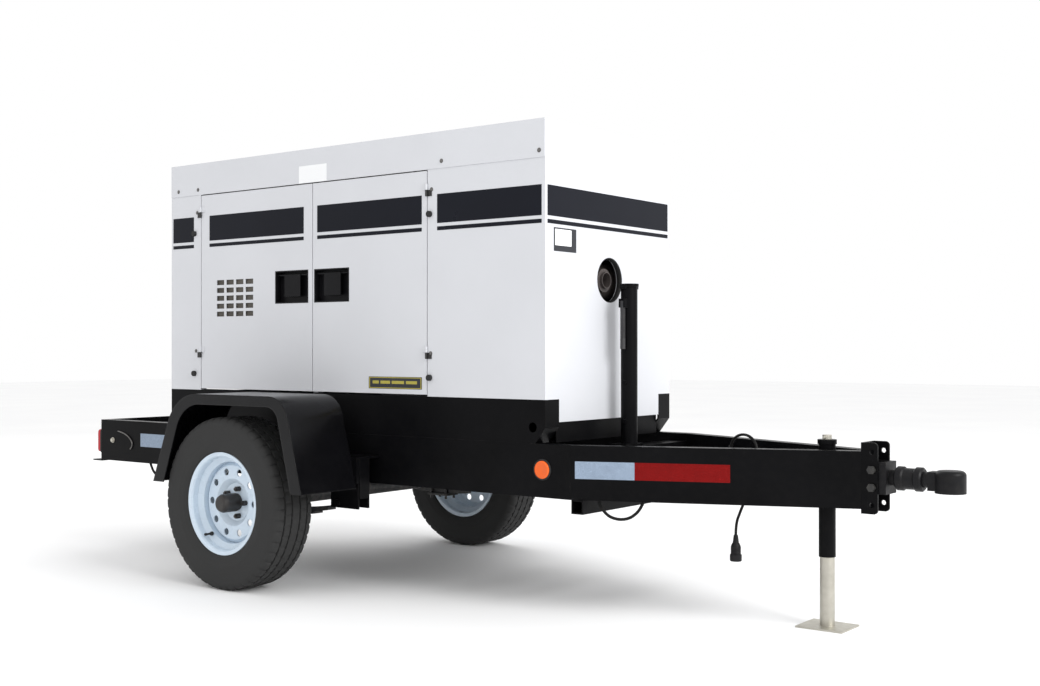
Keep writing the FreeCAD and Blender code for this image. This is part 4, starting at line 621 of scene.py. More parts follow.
def route_curve(name: str, points: Sequence[Vector], dense: int = 10) -> bpy.types.Curve:
    """A NURBS curve with the route's points as its control points."""
    curve = bpy.data.curves.new(name, "CURVE")
    curve.dimensions = "3D"
    curve.resolution_u = dense
    spline = curve.splines.new("NURBS")
    spline.points.add(len(points) - 1)
    for place, point in zip(spline.points, points):
        place.co = (*point, 1.0)
    spline.order_u = 3
    spline.use_endpoint_u = True
    return curve


class Scatter:
    """A Geometry Nodes tree that puts one shape on each point, turned along the point's normal."""

    def __init__(self, shape: bpy.types.Object, finish: Finish, name: str) -> None:
        """Builds the tree.

        Args:
            shape: The shape to repeat, its face along +Z.
            finish: The finish of the copies.
            name: The tree's name.
        """
        tree = bpy.data.node_groups.new(name, "GeometryNodeTree")
        tree.interface.new_socket("Geometry", in_out="INPUT", socket_type="NodeSocketGeometry")
        self.size = tree.interface.new_socket("Size", in_out="INPUT", socket_type="NodeSocketFloat")
        self.turn = tree.interface.new_socket("Turn", in_out="INPUT", socket_type="NodeSocketFloat")
        tree.interface.new_socket("Geometry", in_out="OUTPUT", socket_type="NodeSocketGeometry")
        nodes, links = tree.nodes, tree.links
        start, end = nodes.new("NodeGroupInput"), nodes.new("NodeGroupOutput")
        info = nodes.new("GeometryNodeObjectInfo")
        info.inputs["Object"].default_value = shape
        facing = nodes.new("GeometryNodeInputNamedAttribute")
        facing.data_type = "FLOAT_VECTOR"
        facing.inputs["Name"].default_value = "facing"
        align = nodes.new("FunctionNodeAlignEulerToVector")
        align.axis = "Z"
        chance = nodes.new("FunctionNodeRandomValue")
        chance.inputs["Seed"].default_value = 11
        about = nodes.new("FunctionNodeRotateEuler")
        about.space = "LOCAL"
        combine = nodes.new("ShaderNodeCombineXYZ")
        times = nodes.new("ShaderNodeMath")
        times.operation = "MULTIPLY"
        put = nodes.new("GeometryNodeInstanceOnPoints")
        real = nodes.new("GeometryNodeRealizeInstances")
        dress = nodes.new("GeometryNodeSetMaterial")
        dress.inputs["Material"].default_value = finish.build()
        float_out = [s for s in chance.outputs if s.type == "VALUE"][0]
        links.new(facing.outputs[0], align.inputs["Vector"])
        links.new(float_out, times.inputs[0])
        links.new(start.outputs["Turn"], times.inputs[1])
        links.new(times.outputs[0], combine.inputs[2])
        links.new(align.outputs[0], about.inputs["Rotation"])
        links.new(combine.outputs[0], about.inputs["Rotate By"])
        links.new(start.outputs["Geometry"], put.inputs["Points"])
        links.new(info.outputs["Geometry"], put.inputs["Instance"])
        links.new(about.outputs[0], put.inputs["Rotation"])
        links.new(start.outputs["Size"], put.inputs["Scale"])
        links.new(put.outputs[0], real.inputs[0])
        links.new(real.outputs[0], dress.inputs["Geometry"])
        links.new(dress.outputs[0], end.inputs[0])
        self.tree, self.finish = tree, finish

    def bake(self, name: str, body: str, places: Sequence[tuple[Vector, Vector]],
             size: float = 1.0, turn: float = 6.283) -> bpy.types.Object:
        """Puts the shape at each place and keeps the result as a plain mesh.

        Args:
            name: The piece's name.
            body: The body it rides on.
            places: Point and outward direction of each copy.
            size: Scale of the copies.
            turn: The most that a copy is turned about its own axis, in radians.

        Returns:
            The piece.
        """
        points = bpy.data.meshes.new(name + "_points")
        points.from_pydata([tuple(p) for p, _ in places], [], [])
        facing = points.attributes.new("facing", "FLOAT_VECTOR", "POINT")
        facing.data.foreach_set("vector", [c for _, n in places for c in n])
        holder = bpy.data.objects.new(name + "_points", points)
        bpy.context.scene.collection.objects.link(holder)
        modifier = holder.modifiers.new("scatter", "NODES")
        modifier.node_group = self.tree
        modifier[self.size.identifier] = size
        modifier[self.turn.identifier] = turn
        evaluated = holder.evaluated_get(bpy.context.evaluated_depsgraph_get())
        made = bpy.data.meshes.new_from_object(evaluated)
        bpy.data.objects.remove(holder)
        return finish_piece(made, name, self.finish, body)


def template(name: str, build: Callable[[Shape], None]) -> bpy.types.Object:
    """A shape for a scatter tree to repeat, kept out of the scene."""
    shape = Shape()
    build(shape)
    return bpy.data.objects.new(name, shape.done(name))


# ---------------------------------------------------------------- sub-assemblies


@dataclass
class CadFinishes:
    """Finishes of the pieces that keep their CAD shape."""

    def dress(self) -> None:
        """Gives each CAD piece its finish."""
        for finish, names in DRESSED:
            for name in names.split():
                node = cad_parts[name]
                node.data.materials.clear()
                node.data.materials.append(finish.build())
            LOG.info("%s on %s", finish.name, names)


@dataclass
class Bands:
    """The dark bands round the cabinet, with a thin line under them."""

    broad: tuple[float, float] = (1445.0, 1557.0)
    thin: tuple[float, float] = (1417.0, 1432.0)
    thick: float = 0.0006
    front_width: float = 0.842
    spans: tuple[tuple[str, float, float], ...] = (
        ("chassis", -811.0, -664.0), ("door_rear", -555.0, 54.0),
        ("door_front", 135.0, 716.0), ("chassis", 795.0, 1295.0))

    def build(self) -> None:
        """Builds the bands of each side and of the front."""
        for side in Side:
            grouped: dict[str, Shape] = {}
            for owner, start, end in self.spans:
                body = owner if owner == "chassis" else f"{owner}_{side.tag}"
                shape = grouped.setdefault(body, Shape())
                for low, high in (self.broad, self.thin):
                    middle = at((start + end) / 2, side.value * SIDE_FACE, (low + high) / 2)
                    shape.slab(middle, side.across, UP,
                               (end - start) * MM, (high - low) * MM, self.thick)
            for body, shape in grouped.items():
                name = f"bands_{body}" if body != "chassis" else f"bands_corners_{side.tag}"
                shape.piece(name, BAND_BLACK, body)
        front = Shape()
        for low, high in (self.broad, self.thin):
            front.slab(Vector((FRONT_FACE, 0, (low + high) / 2 * MM)), LEFTWARD, UP,
                       self.front_width, (high - low) * MM, self.thick)
        front.piece("bands_front", BAND_BLACK, "chassis")


@dataclass
class Labels:
    """Plain labels and reflective tape, with no lettering."""

    thick: float = 0.0004
    corner: float = 0.0015
    door_place: tuple[float, float] = (574.5, 826.0)
    door_size: tuple[float, float] = (0.285, 0.048)
    door_bars: tuple[tuple[float, float, float, float], ...] = (
        (0.0, 0.0205, 0.279, 0.003), (0.0, -0.0205, 0.279, 0.003), (-0.1375, 0.0, 0.004, 0.038),
        (0.1375, 0.0, 0.004, 0.038), (-0.104, 0.002, 0.034, 0.012), (-0.052, 0.002, 0.052, 0.012),
        (0.016, 0.002, 0.066, 0.012), (0.088, 0.002, 0.058, 0.012))
    roof_place: tuple[float, float] = (109.5, 1692.0)
    roof_size: tuple[float, float] = (0.165, 0.072)
    front_place: tuple[float, float] = (-0.3105, 1.3615)
    front_size: tuple[float, float] = (0.143, 0.087)
    field_shift: tuple[float, float] = (-0.012, 0.008)
    field_size: tuple[float, float] = (0.104, 0.060)
    tape_z: float = 530.0
    tape_height: float = 0.062
    kink: tuple[float, float] = (1420.0, SIDE_FACE)
    tip: tuple[float, float] = (2345.0, 55.0)
    tongue_tapes: tuple[tuple[str, Finish, float, float], ...] = (
        ("tape_silver", TAPE_SILVER, 0.018, 0.232), ("tape_red", TAPE_RED, 0.232, 0.565))
    rear_tape: tuple[float, float] = (-940.0, 0.230)

    def plate(self, name: str, finish: Finish, body: str, rows: Sequence[tuple]) -> None:
        """One piece of one or more flat plates.

        Args:
            name: The piece's name.
            finish: Its finish.
            body: The body it rides on.
            rows: (origin, across, width, height, lift) of each plate, in metres.
        """
        shape = Shape()
        for origin, across, width, height, lift in rows:
            shape.slab(origin + across.cross(UP) * lift, across, UP, width, height, self.thick, self.corner)
        shape.piece(name, finish, body)

    def labels(self) -> None:
        """Builds the door label, the roof label and the front label."""
        x, z = self.door_place
        door = at(x, -SIDE_FACE, z)
        self.plate("label_door_base", LABEL_DARK, "door_front_right", [(door, AHEAD, *self.door_size, 0.0)])
        bars = [(door + Vector((x, 0, z)), AHEAD, width, height, self.thick)
                for x, z, width, height in self.door_bars]
        self.plate("label_door_rows", LABEL_YELLOW, "door_front_right", bars)
        x, z = self.roof_place
        self.plate("label_roof", LABEL_PALE, "chassis",
                   [(at(x, -SKIRT_FACE, z), AHEAD, *self.roof_size, 0.0)])
        base = Vector((FRONT_FACE, *self.front_place))
        self.plate("label_front_base", LABEL_DARK, "chassis", [(base, LEFTWARD, *self.front_size, 0.0)])
        field = base + Vector((0, *self.field_shift))
        self.plate("label_front_field", LABEL_PALE, "chassis",
                   [(field, LEFTWARD, *self.field_size, self.thick)])

    def tapes(self, side: Side) -> None:
        """Builds the tapes of one side, along its tongue rail and at its rear."""
        start = at(self.kink[0], side.value * self.kink[1], self.tape_z)
        end = at(self.tip[0], side.value * self.tip[1], self.tape_z)
        along = (end - start).normalized()
        across = along if side is Side.RIGHT else -along
        for name, finish, first, last in self.tongue_tapes:
            middle = start + along * (first + last) / 2
            self.plate(f"{name}_{side.tag}", finish, "chassis",
                       [(middle, across, last - first, self.tape_height, 0.0)])
        x, length = self.rear_tape
        place = at(x, side.value * SIDE_FACE, self.tape_z)
        self.plate(f"tape_rear_{side.tag}", TAPE_SILVER, "chassis",
                   [(place, side.across, length, self.tape_height, 0.0)])

    def build(self) -> None:
        """Builds the labels, then the tapes."""
        self.labels()
        for side in Side:
            self.tapes(side)


@dataclass
class LatchTrays:
    """Black pressed trays that line the latch recesses of the doors."""

    width: float = 0.194
    height: float = 0.130
    rim: float = 0.0045
    proud: float = 0.0008
    lip: float = 0.0008
    draft: float = 0.0012
    sheet: float = 0.0006
    deep: float = 0.0285
    middles: tuple[tuple[str, float], ...] = (("rear", -20.0), ("front", 219.0))
    middle_z: float = 1223.0

    def tray(self, side: Side, end: str, middle: float) -> None:
        """Builds one tray as a thin shell with a flat rim.

        Args:
            side: The side of the trailer.
            end: Which door it sits in, front or rear.
            middle: Where its middle is along the cabinet, in millimetres from the axle.
        """
        origin = at(middle, side.value * SIDE_FACE, self.middle_z)
        half_w, half_h = self.width / 2, self.height / 2
        levels = ((self.rim, 0.0), (self.rim, self.proud), (-self.lip, self.proud), (-self.draft, -self.deep))
        shape = Shape()
        rings = []
        for grow, level in levels:
            ring = []
            for sx, sz in ((1, 1), (-1, 1), (-1, -1), (1, -1)):
                corner = Vector((sx * (half_w + grow), 0, sz * (half_h + grow)))
                ring.append(shape.mesh.verts.new(origin + corner + side.out * level))
            rings.append(ring)
        shape.skin(rings, True)
        floor = [shape.mesh.verts.new(v.co + side.out * self.sheet) for v in rings[-1]]
        shape.skin([rings[-1], floor], True)
        shape.mesh.faces.new(floor)
        body = f"door_{end}_{side.tag}"
        shape.piece(f"tray_{body}", LATCH_BLACK, body)

    def build(self) -> None:
        """Builds the four trays."""
        for side in Side:
            for end, middle in self.middles:
                self.tray(side, end, middle)


@dataclass
class Fasteners:
    """Screws on the cabinet and bolts on the frame."""

    panel_screws: tuple[tuple[float, float], ...] = (
        (-641.0, 1576.0), (-648.0, 951.0), (766.0, 1577.0), (762.0, 943.0))
    roof_screws: tuple[tuple[float, float], ...] = (
        (-771.0, 1679.0), (-633.0, 1679.0), (818.0, 1683.0), (1285.0, 1681.0))
    bracket_bolts: tuple[tuple[float, float], ...] = ((162.0, 455.0), (255.0, 455.0))
    bracket_face: float = 560.0
    rear_bolt: tuple[float, float] = (-1270.0, 521.0)
    rear_rows: tuple[float, ...] = (0.84, 1.14, 1.6)
    rear_half: float = 0.41
    crown_rows: tuple[float, ...] = (-0.7, -0.2, 0.3, 0.8, 1.2)
    crown_half: float = 0.35

    def pan_head(self) -> bpy.types.Object:
        """A slotted pan head on its washer."""
        head = ((0.0085, -0.0005), (0.0085, 0.0008), (0.006, 0.001), (0.0056, 0.003), (0.0035, 0.0042))
        return template("pan_head", lambda s: (
            s.lathe(Vector(), UP, head, 20),
            s.slab(UP * 0.004, AHEAD, LEFTWARD, 0.005, 0.0012, 0.0005, 0.0004)))

    def hex_head(self) -> bpy.types.Object:
        """A hexagon head on its washer."""
        return template("hex_head", lambda s: (
            s.lathe(Vector(), UP, ((0.013, -0.0005), (0.013, 0.002)), 24),
            s.lathe(UP * 0.002, UP, ((0.0098, 0.0), (0.0098, 0.006), (0.0085, 0.0075)), 6)))

    def build(self) -> None:
        """Builds each family with one scatter tree."""
        pan, hexed = self.pan_head(), self.hex_head()
        screws = Scatter(pan, SCREW_STEEL, "screw_scatter")
        bolts = Scatter(hexed, ZINC, "bolt_scatter")
        for side in Side:
            face, skirt = side.value * SIDE_FACE, side.value * SKIRT_FACE
            places = [at(x, face, z) for x, z in self.panel_screws]
            places += [at(x, skirt, z) for x, z in self.roof_screws]
            screws.bake(f"panel_screws_{side.tag}", "chassis", [(place, side.out) for place in places])
            places = [at(x, side.value * self.bracket_face, z) for x, z in self.bracket_bolts]
            places.append(at(self.rear_bolt[0], face, self.rear_bolt[1]))
            bolts.bake(f"rail_bolts_{side.tag}", "chassis", [(place, side.out) for place in places])
        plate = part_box("rear_panel")[0].x
        screws.bake("rear_screws", "chassis", [
            (Vector((plate, y, z)), ASTERN)
            for y in (-self.rear_half, self.rear_half) for z in self.rear_rows], turn=1.0)
        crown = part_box("roof_panel")[1].z
        screws.bake("roof_top_screws", "chassis", [
            (Vector((AXLE_X + x, y, crown)), UP)
            for x in self.crown_rows for y in (-self.crown_half, self.crown_half)])


@dataclass
class Linings:
    """What lies behind the doors' sheets: foam, and the screens behind the vents."""

    foam: float = 0.012
    rows: tuple[tuple[float, float], ...] = ((806.0, 1082.0), (1306.0, 1636.0))
    doors: tuple[tuple[str, float, float], ...] = (("rear", -588.0, 83.0), ("front", 131.0, 720.0))
    quilts: int = 4
    seam: float = 0.001
    sheet: float = 0.0032
    screen_place: tuple[float, float] = (-384.0, 1185.0)
    screen_size: tuple[float, float] = (0.262, 0.178)
    screen_depth: float = 0.007

    def door_foam(self, side: Side, end: str, first: float, last: float) -> None:
        """Builds the foam of one door as one piece of quilted slabs.

        Args:
            side: The side of the trailer.
            end: Which door it lines, front or rear.
            first: Where the foam starts, in millimetres from the axle.
            last: Where it ends.
        """
        shape = Shape()
        width = (last - first) / self.quilts
        for low, high in self.rows:
            for index in range(self.quilts):
                face = at(first + width * (index + 0.5), side.value * SIDE_FACE, (low + high) / 2)
                shape.slab(face - side.out * self.sheet, -side.across, UP, width * MM - self.seam,
                           (high - low) * MM, self.foam, 0.006, 0.005)
        body = f"door_{end}_{side.tag}"
        shape.piece(f"foam_{body}", FOAM, body)

    def build(self) -> None:
        """Builds the foam of each door, and the vent screens."""
        for side in Side:
            for end, first, last in self.doors:
                self.door_foam(side, end, first, last)
            x, z = self.screen_place
            shape = Shape()
            shape.slab(at(x, side.value * SIDE_FACE, z) - side.out * self.screen_depth, -side.across, UP,
                       *self.screen_size, 0.002, 0.003)
            body = f"door_rear_{side.tag}"
            shape.piece(f"screen_{body}", SCREEN_BROWN, body)


@dataclass
class SmallParts:
    """The dark lining of the exhaust opening, and the bent clips on the rear rails."""

    hole: tuple[float, float] = (-0.012, 1.226)
    bore: float = 0.0868
    wall: float = 0.0012
    depth: float = 0.0235
    clip: tuple[tuple[float, float], ...] = (
        (-1225.0, 566.0), (-1180.0, 560.0), (-1130.0, 536.0), (-1106.0, 502.0), (-1130.0, 484.0))
    clip_stand: float = 4.0
    clip_radius: float = 0.003

    def build(self) -> None:
        """Builds the lining as a thin ring, and each clip as a bent rod."""
        inner = self.bore - self.wall
        section = ((self.bore, 0.0), (self.bore, self.depth), (inner, self.depth), (inner, 0.0),
                   (self.bore, 0.0))
        lining = Shape()
        lining.lathe(Vector((FRONT_FACE - self.depth, *self.hole)), AHEAD, section, 64)
        lining.piece("exhaust_lining", BLACK_RUBBER, "chassis", True)
        for side in Side:
            y = side.value * (SIDE_FACE + self.clip_stand)
            clip = Shape()
            clip.tube(smooth_path([at(x, y, z) for x, z in self.clip], 8), self.clip_radius)
            clip.piece(f"rail_clip_{side.tag}", SCREW_STEEL, "chassis", True)


@dataclass
class ControlFace:
    """The meters, display and knobs on the control panel's face."""

    face_x: float = -778.0
    radius: float = 0.030
    meters: tuple[float, ...] = (-0.085, 0.0, 0.085)
    meter_z: float = 1.420
    ticks: int = 9
    tick: float = 0.0016
    display_z: float = 1.338
    display_size: tuple[float, float] = (0.130, 0.052)
    knobs: tuple[tuple[float, float], ...] = ((-0.045, 1.262), (0.045, 1.262))

    def build(self) -> None:
        """Builds the bezels, dials and hands as one piece each, then the display and the knobs."""
        face = at(self.face_x, 0.0, 0.0).x
        size = self.radius
        bezel = ((size, 0.0), (size, 0.006), (size - 0.002, 0.008), (size - 0.004, 0.0075),
                 (size - 0.0045, 0.0), (size, 0.0))
        dial = ((size - 0.0046, 0.0), (size - 0.0046, 0.004), (0.001, 0.0042))
        bezels, dials, hands = Shape(), Shape(), Shape()
        for index, y in enumerate(self.meters):
            centre = Vector((face, y, self.meter_z))
            bezels.lathe(centre, ASTERN, bezel, 48)
            dials.lathe(centre, ASTERN, dial, 40)
            for step in range(self.ticks):
                turn = math.radians(210.0 - 30.0 * step)
                spoke = RIGHTWARD * math.cos(turn) + UP * math.sin(turn)
                hands.slab(centre + ASTERN * 0.0042 + spoke * (size * 0.68), RIGHTWARD, UP,
                           self.tick, self.tick, 0.0003, 0.0007)
            lean = math.radians(60.0 + 25.0 * index)
            point = RIGHTWARD * math.cos(lean) + UP * math.sin(lean)
            hands.slab(centre + ASTERN * 0.0044 + point * (size * 0.25), point.cross(ASTERN), point,
                       0.0012, size * 0.8, 0.0004, 0.0005)
        bezels.piece("meter_bezels", LEVER_BLACK, "chassis")
        dials.piece("meter_dials", LABEL_PALE, "chassis")
        hands.piece("meter_hands", LABEL_DARK, "chassis")
        display = Shape()
        display.slab(Vector((face, 0.0, self.display_z)), RIGHTWARD, UP, *self.display_size,
                     0.006, 0.004, 0.001)
        display.piece("panel_display", LABEL_DARK, "chassis")
        grip = ((0.014, 0.0), (0.014, 0.003), (0.010, 0.004), (0.0095, 0.014), (0.008, 0.016))
        knob = template("knob", lambda s: (
            s.lathe(Vector(), UP, grip, 28),
            s.slab(UP * 0.0158, AHEAD, LEFTWARD, 0.003, 0.014, 0.002, 0.001)))
        places = [(Vector((face, y, z)), ASTERN) for y, z in self.knobs]
        Scatter(knob, LEVER_BLACK, "knob_scatter").bake("panel_knobs", "chassis", places, turn=0.8)


@dataclass
class EngineLines:
    """The coolant hose and the battery leads."""

    hose: tuple[tuple[float, float, float], ...] = (
        (744.0, 90.0, 1345.0), (790.0, 92.0, 1376.0), (850.0, 98.0, 1394.0), (915.0, 104.0, 1398.0))
    hose_radius: float = 0.021
    hose_rib: float = 0.0012
    ribs: float = 900.0
    leads: tuple[tuple[str, Finish, float], ...] = (("red", BUTTON_RED, 566.0), ("black", CABLE_BLACK, 640.0))
    lead_path: tuple[tuple[float, float, float], ...] = (
        (0.0, -320.0, -2.0), (0.0, -320.0, 26.0), (-8.0, -290.0, 44.0), (-16.0, -240.0, 40.0),
        (-20.0, -196.0, 20.0))
    lead_radius: float = 0.006

    def build(self) -> None:
        """Builds the hose, then a red and a black lead from the battery's top."""
        hose = Shape()
        hose.tube(smooth_path([at(*p) for p in self.hose], 10), self.hose_radius, 24,
                  lambda gone: self.hose_rib * math.sin(gone * self.ribs))
        hose.piece("coolant_hose", BLACK_RUBBER, "chassis", True)
        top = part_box("battery")[1].z / MM
        for name, finish, start in self.leads:
            lead = Shape()
            path = smooth_path([at(start + x, y, top + z) for x, y, z in self.lead_path], 10)
            lead.tube(path, self.lead_radius, 16)
            lead.piece(f"battery_lead_{name}", finish, "chassis", True)


@dataclass
class WheelTrim:
    """The valve stem of each wheel."""

    reach: float = 0.034
    stem: float = 0.0042
    inset: float = 0.038
    sunk: float = 0.036
    turn: float = math.radians(232.0)

    def build(self) -> None:
        """Builds both valves, just inside the rim's outer flange."""
        stem, reach = self.stem, self.reach
        profile = ((stem * 2.0, -0.004), (stem * 2.0, 0.002), (stem * 1.5, 0.006), (stem, 0.012),
                   (stem, reach - 0.010), (stem * 1.25, reach - 0.009), (stem * 1.25, reach),
                   (stem * 0.8, reach + 0.002))
        spoke = Vector((math.cos(self.turn), 0, math.sin(self.turn)))
        for side in Side:
            low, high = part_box(f"rim_{side.tag}")
            centre = (low + high) / 2
            flange = (high.z - low.z) / 2
            face = high.y if side is Side.LEFT else low.y
            foot = Vector((centre.x, face, centre.z)) + spoke * (flange - self.inset) - side.out * self.sunk
            shape = Shape()
            shape.lathe(foot, side.out, profile, 20)
            shape.piece(f"valve_{side.tag}", BLACK_RUBBER, f"wheel_{side.tag}", True)


@dataclass
class Tyre:
    """A trailer tyre: tread blocks, rain grooves, shoulders and ribbed side walls."""

    steps: int = 288
    groove: float = 0.0075
    grooves: tuple[float, ...] = (0.60, 0.22)
    pitch: int = 6
    shoulder_cut: float = -0.0055
    block_cut: float = -0.004
    bead_inset: float = 0.0185
    bead_share: float = 0.74

    def profile(self, radius: float, half: float, flange: float) -> list[tuple[float, float]]:
        """The section from one bead to the other.

        Args:
            radius: Outer radius.
            half: Half the width.
            flange: Radius of the rim's flange, which the side wall comes out over.

        Returns:
            (radius, across) points.
        """
        bead = ((-0.0165, 0.745), (-0.009, 0.785), (0.0006, 0.805), (0.004, 0.90), (0.008, 0.93),
                (0.012, 0.935), (0.016, 0.955), (0.028, 0.978), (0.042, 0.993), (0.047, 1.0), (0.051, 0.996))
        shoulder = ((0.050, 0.992), (0.038, 0.985), (0.030, 0.99), (0.022, 0.975), (0.012, 0.935),
                    (0.005, 0.88), (0.002, 0.82), (0.0, 0.74))
        points = [(flange + rise, share) for rise, share in bead]
        points += [(radius - drop, share) for drop, share in shoulder]
        for centre in self.grooves:
            points += [(radius, centre + 0.045), (radius - self.groove, centre + 0.032),
                       (radius - self.groove, centre - 0.032), (radius, centre - 0.045)]
        right = [(r, share * half) for r, share in points]
        return right + [(r, -across) for r, across in reversed(right)]

    def one(self, side: Side) -> None:
        """Builds one tyre, a closed turned shell with staggered cuts across its blocks."""
        low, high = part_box(f"tyre_{side.tag}")
        radius, half = (high.z - low.z) / 2, (high.y - low.y) / 2
        rim_low, rim_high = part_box(f"rim_{side.tag}")
        flange = (rim_high.z - rim_low.z) / 2
        section = self.profile(radius, half, flange)
        inner, bead = flange - self.bead_inset, half * self.bead_share
        section += [(inner, -bead), (inner, bead), section[0]]

        def cut(step: int, index: int) -> float:
            """The radius change at one point of the tread."""
            r, across = section[index]
            if r < radius - 0.013 or index >= len(section) - 3:
                return 0.0
            zone = 0 if abs(across) > 0.62 * half else 1 if abs(across) > 0.24 * half else 2
            phase = (step + (0, 3, 1)[zone] + (2 if across > 0 else 0)) % self.pitch
            if zone == 0:
                return self.shoulder_cut if phase == 0 else 0.0
            return self.block_cut if phase == 0 and r > radius - 0.001 else 0.0

        shape = Shape()
        shape.lathe((low + high) / 2, LEFTWARD, section, self.steps, cut)
        tyre = shape.piece(f"tyre_tread_{side.tag}", TYRE_RUBBER, f"wheel_{side.tag}", True)
        tyre.data.set_sharp_from_angle(angle=math.radians(35))
        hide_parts(f"tyre_{side.tag}")

    def build(self) -> None:
        """Builds both tyres."""
        for side in Side:
            self.one(side)


@dataclass
class Lamps:
    """Upright tail lamps in rubber frames, and round side markers in rubber rings."""

    tail_place: tuple[float, float] = (379.0, 513.0)
    tail_plate: float = -1364.0
    tail_width: float = 0.100
    tail_height: float = 0.110
    tail_bars: tuple[float, ...] = (-0.36, -0.24, -0.12, 0.0, 0.12, 0.24, 0.36)
    frame_width: float = 0.006
    frame_depth: float = 0.014
    marker_place: tuple[float, float] = (1299.0, 524.0)
    marker: float = 0.0325
    marker_depth: float = 0.0095
    grommet: float = 0.0385
    grommet_depth: float = 0.0055

    def lens(self, side: Side, centre: Vector) -> bpy.types.Object:
        """A marker's domed lens with rings moulded in its face.

        Args:
            side: The side of the trailer.
            centre: Its middle, on the rail's face.

        Returns:
            The lens.
        """
        radius, deep = self.marker, self.marker_depth
        profile = [(radius, 0.0), (radius, deep * 0.62), (radius * 0.97, deep * 0.76),
                   (radius * 0.9, deep * 0.86)]
        for ring in (0.82, 0.66, 0.50, 0.34, 0.18):
            profile.append((radius * ring, deep * 0.93 + 0.0008))
            profile.append((radius * (ring - 0.05), deep * 0.93 - 0.0006))
        profile.append((radius * 0.05, deep))
        shape = Shape()
        shape.lathe(centre, side.out, profile, 64)
        return shape.piece(f"marker_lens_{side.tag}", LENS_AMBER, "chassis", True)

    def ring(self, side: Side, centre: Vector) -> bpy.types.Object:
        """The rounded rubber ring round a marker."""
        middle, half = (self.marker + self.grommet) / 2, (self.grommet - self.marker) / 2
        section = [(self.grommet, 0.0)]
        for step in range(9):
            a = math.pi * step / 8
            section.append((middle + half * math.cos(a), self.grommet_depth * (0.5 + 0.5 * math.sin(a))))
        section += [(self.marker, 0.0), (self.grommet, 0.0)]
        shape = Shape()
        shape.lathe(centre, side.out, section, 56)
        return shape.piece(f"marker_grommet_{side.tag}", BLACK_RUBBER, "chassis", True)

    def tail_lamp(self, side: Side) -> tuple[bpy.types.Object, bpy.types.Object]:
        """An upright lamp: a boxed lens with bars moulded across it, in a rubber frame.

        Args:
            side: The side of the trailer.

        Returns:
            The lens and its frame.
        """
        centre = at(self.tail_plate, side.value * self.tail_place[0], self.tail_place[1])
        deep = centre.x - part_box("tail_lamps")[0].x
        glass = Shape()
        glass.slab(centre, RIGHTWARD, UP, self.tail_width, self.tail_height, deep, 0.014, 0.008)
        for share in self.tail_bars:
            place = centre + UP * (share * self.tail_height) + ASTERN * deep
            glass.slab(place, RIGHTWARD, UP, self.tail_width * 0.74, 0.006, 0.0012, 0.0028, 0.0008)
        lens = glass.piece(f"tail_lens_{side.tag}", LENS_RED, "chassis")
        rubber = Shape()
        grow = 2 * self.frame_width
        rubber.slab(centre, RIGHTWARD, UP, self.tail_width + grow, self.tail_height + grow,
                    self.frame_depth, 0.018, 0.003)
        return lens, rubber.piece(f"tail_frame_{side.tag}", BLACK_RUBBER, "chassis")

    def build(self) -> None:
        """Builds the four lamps, a lens and a surround each."""
        for side in Side:
            tail = self.tail_lamp(side)
            place = at(self.marker_place[0], side.value * SIDE_FACE, self.marker_place[1])
            marker = self.lens(side, place), self.ring(side, place)
            for node, pieces in (("tail_lamps", tail), ("side_markers", marker)):
                for piece in pieces:
                    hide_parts(node)


@dataclass
class TrailerLead:
    """The lead that hangs from the tongue crossmember, its gland and its plug."""

    radius: float = 0.005
    route: tuple[tuple[float, float, float], ...] = (
        (1857, -58, 578), (1857, -58, 617), (1879, -63, 648), (1915, -67, 659), (1951, -72, 647),
        (1973, -79, 616), (1977, -87, 566), (1967, -98, 506), (1949, -109, 448), (1930, -120, 393),
        (1916, -130, 347), (1916, -130, 308))

    def plug(self, top: Vector) -> bpy.types.Object:
        """The moulded plug: boot, ribbed grip and shell.

        Args:
            top: Where the lead enters it.

        Returns:
            The plug.
        """
        low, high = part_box("trailer_plug")
        radius, length = (high.x - low.x) / 2, high.z - low.z
        profile = [(0.0062, 0.0), (0.0075, 0.001)]
        for rib in range(4):
            start = 0.003 + rib * 0.006
            profile += [(0.0075 + rib * 0.0008, start), (0.0085 + rib * 0.0008, start + 0.001),
                        (0.0085 + rib * 0.0008, start + 0.0035), (0.0078 + rib * 0.0008, start + 0.0045)]
        profile += [(0.0135, 0.031), (0.016, 0.036), (0.0168, 0.040)]
        for rib in range(5):
            start = 0.041 + rib * 0.005
            profile += [(0.0182, start + 0.001), (0.0182, start + 0.003), (0.0168, start + 0.004)]
        profile += [(0.0195, 0.068), (radius, 0.070), (radius, length - 0.003), (radius - 0.002, length)]
        shape = Shape()
        shape.lathe(top, DOWN, profile, 40)
        key = top + DOWN * (length - 0.014) + RIGHTWARD * (radius - 0.0015)
        shape.slab(key, AHEAD, UP, 0.008, 0.024, 0.0012, 0.001)
        return shape.piece("plug_body", PLUG_BLACK, "chassis")

    def build(self) -> None:
        points = [at(*p) for p in self.route]
        curve = route_curve("lead", points, 12)
        curve.bevel_depth = self.radius
        curve.bevel_resolution = 4
        curve.use_fill_caps = True
        curve.materials.append(CABLE_BLACK.build())
        lead = bpy.data.objects.new("lead", curve)
        bpy.context.scene.collection.objects.link(lead)
        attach(lead, "chassis")
        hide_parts("trailer_lead")
        plug = self.plug(points[-1])
        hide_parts("trailer_plug")
        gland = Shape()
        gland.lathe(points[0], UP,
                    ((0.0150, 0.0), (0.0150, 0.006), (0.0126, 0.0065), (0.0126, 0.0225), (0.0110, 0.0235),
                     (0.0085, 0.027), (0.0068, 0.031), (0.0056, 0.036)), 32)
        boot = gland.piece("lead_gland", PLUG_BLACK, "chassis")
        path = smooth_path(points, 12)


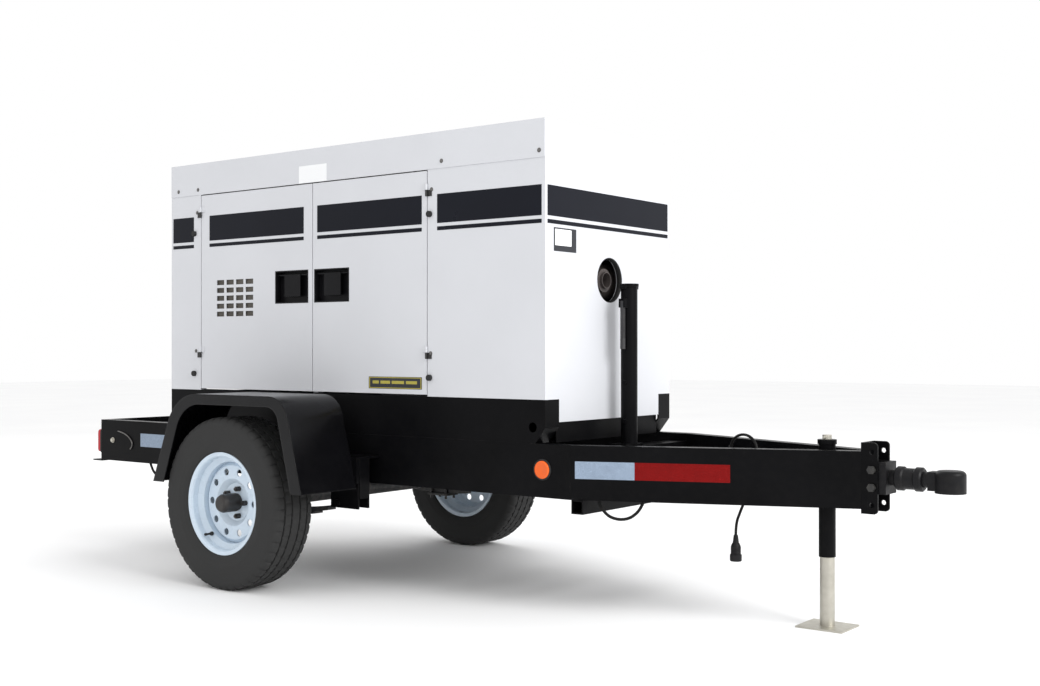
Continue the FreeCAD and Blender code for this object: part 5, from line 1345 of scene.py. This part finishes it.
@dataclass
class Stage:
    """The floor, the lights and the camera."""

    place: tuple[float, float, float] = (3.445, -4.2014, 0.9628)
    turn: tuple[float, float, float] = (90.234, 0.0, 37.34)
    lens: float = 44.76
    aim: tuple[float, float, float] = (0.0, 0.0, 0.9)
    lights: tuple[tuple[str, tuple[float, float, float], float, float], ...] = (
        ("front_light", (7.5, -1.0, 4.5), 4.0, 430.0), ("side_light", (-1.0, -7.5, 4.5), 5.0, 15.0),
        ("back_light", (-5.0, 5.0, 5.0), 5.0, 120.0))
    sky: float = 1.0
    floor_size: float = 60.0
    floor_thick: float = 0.002

    def area(self, name: str, place: Vector, target: Vector, size: float, power: float) -> None:
        """One soft rectangular light aimed at a point."""
        light = bpy.data.lights.new(name, "AREA")
        light.shape, light.size, light.energy = "SQUARE", size, power
        lamp = bpy.data.objects.new(name, light)
        lamp.location = place
        lamp.rotation_euler = (target - place).to_track_quat("-Z", "Y").to_euler()
        bpy.context.scene.collection.objects.link(lamp)

    def build(self) -> None:
        """Builds the stage."""
        scene = bpy.context.scene
        camera = bpy.data.cameras.new("camera")
        camera.lens, camera.sensor_width = self.lens, 36.0
        camera.clip_end = 200.0
        eye = bpy.data.objects.new("camera", camera)
        eye.location = self.place
        eye.rotation_euler = [math.radians(a) for a in self.turn]
        scene.collection.objects.link(eye)
        scene.camera = eye
        world = bpy.data.worlds.new("studio")
        world.use_nodes = True
        world.node_tree.nodes["Background"].inputs[0].default_value = (1.0, 1.0, 1.0, 1.0)
        world.node_tree.nodes["Background"].inputs[1].default_value = self.sky
        scene.world = world
        scene.view_settings.view_transform = "Standard"
        ground = Shape()
        ground.slab(DOWN * self.floor_thick, AHEAD, LEFTWARD, self.floor_size, self.floor_size,
                    self.floor_thick, 1.0)
        floor = bpy.data.objects.new("floor", ground.done("floor"))
        graph = Graph("floor_pale")
        cloud = graph.spread(graph.noise(0.8, 4.0), 0.3, 0.7)
        shade = graph.mix(cloud, (0.93, 0.93, 0.935), (0.96, 0.96, 0.96))
        graph.link(shade, graph.shader.inputs["Base Color"])
        graph.shader.inputs["Roughness"].default_value = 0.9
        floor.data.materials.append(graph.material)
        scene.collection.objects.link(floor)
        for name, place, size, power in self.lights:
            self.area(name, Vector(place), Vector(self.aim), size, power)


def main() -> None:
    """Builds every sub-assembly in order."""
    logging.basicConfig(level=logging.INFO, format="%(name)s: %(message)s")
    Stage().build()
    TrailerLead().build()
    CadFinishes().dress()
    Bands().build()
    Labels().build()
    LatchTrays().build()
    Fasteners().build()
    Linings().build()
    SmallParts().build()
    ControlFace().build()
    EngineLines().build()
    WheelTrim().build()
    Tyre().build()
    Lamps().build()


if __name__ == "__main__":
    main()
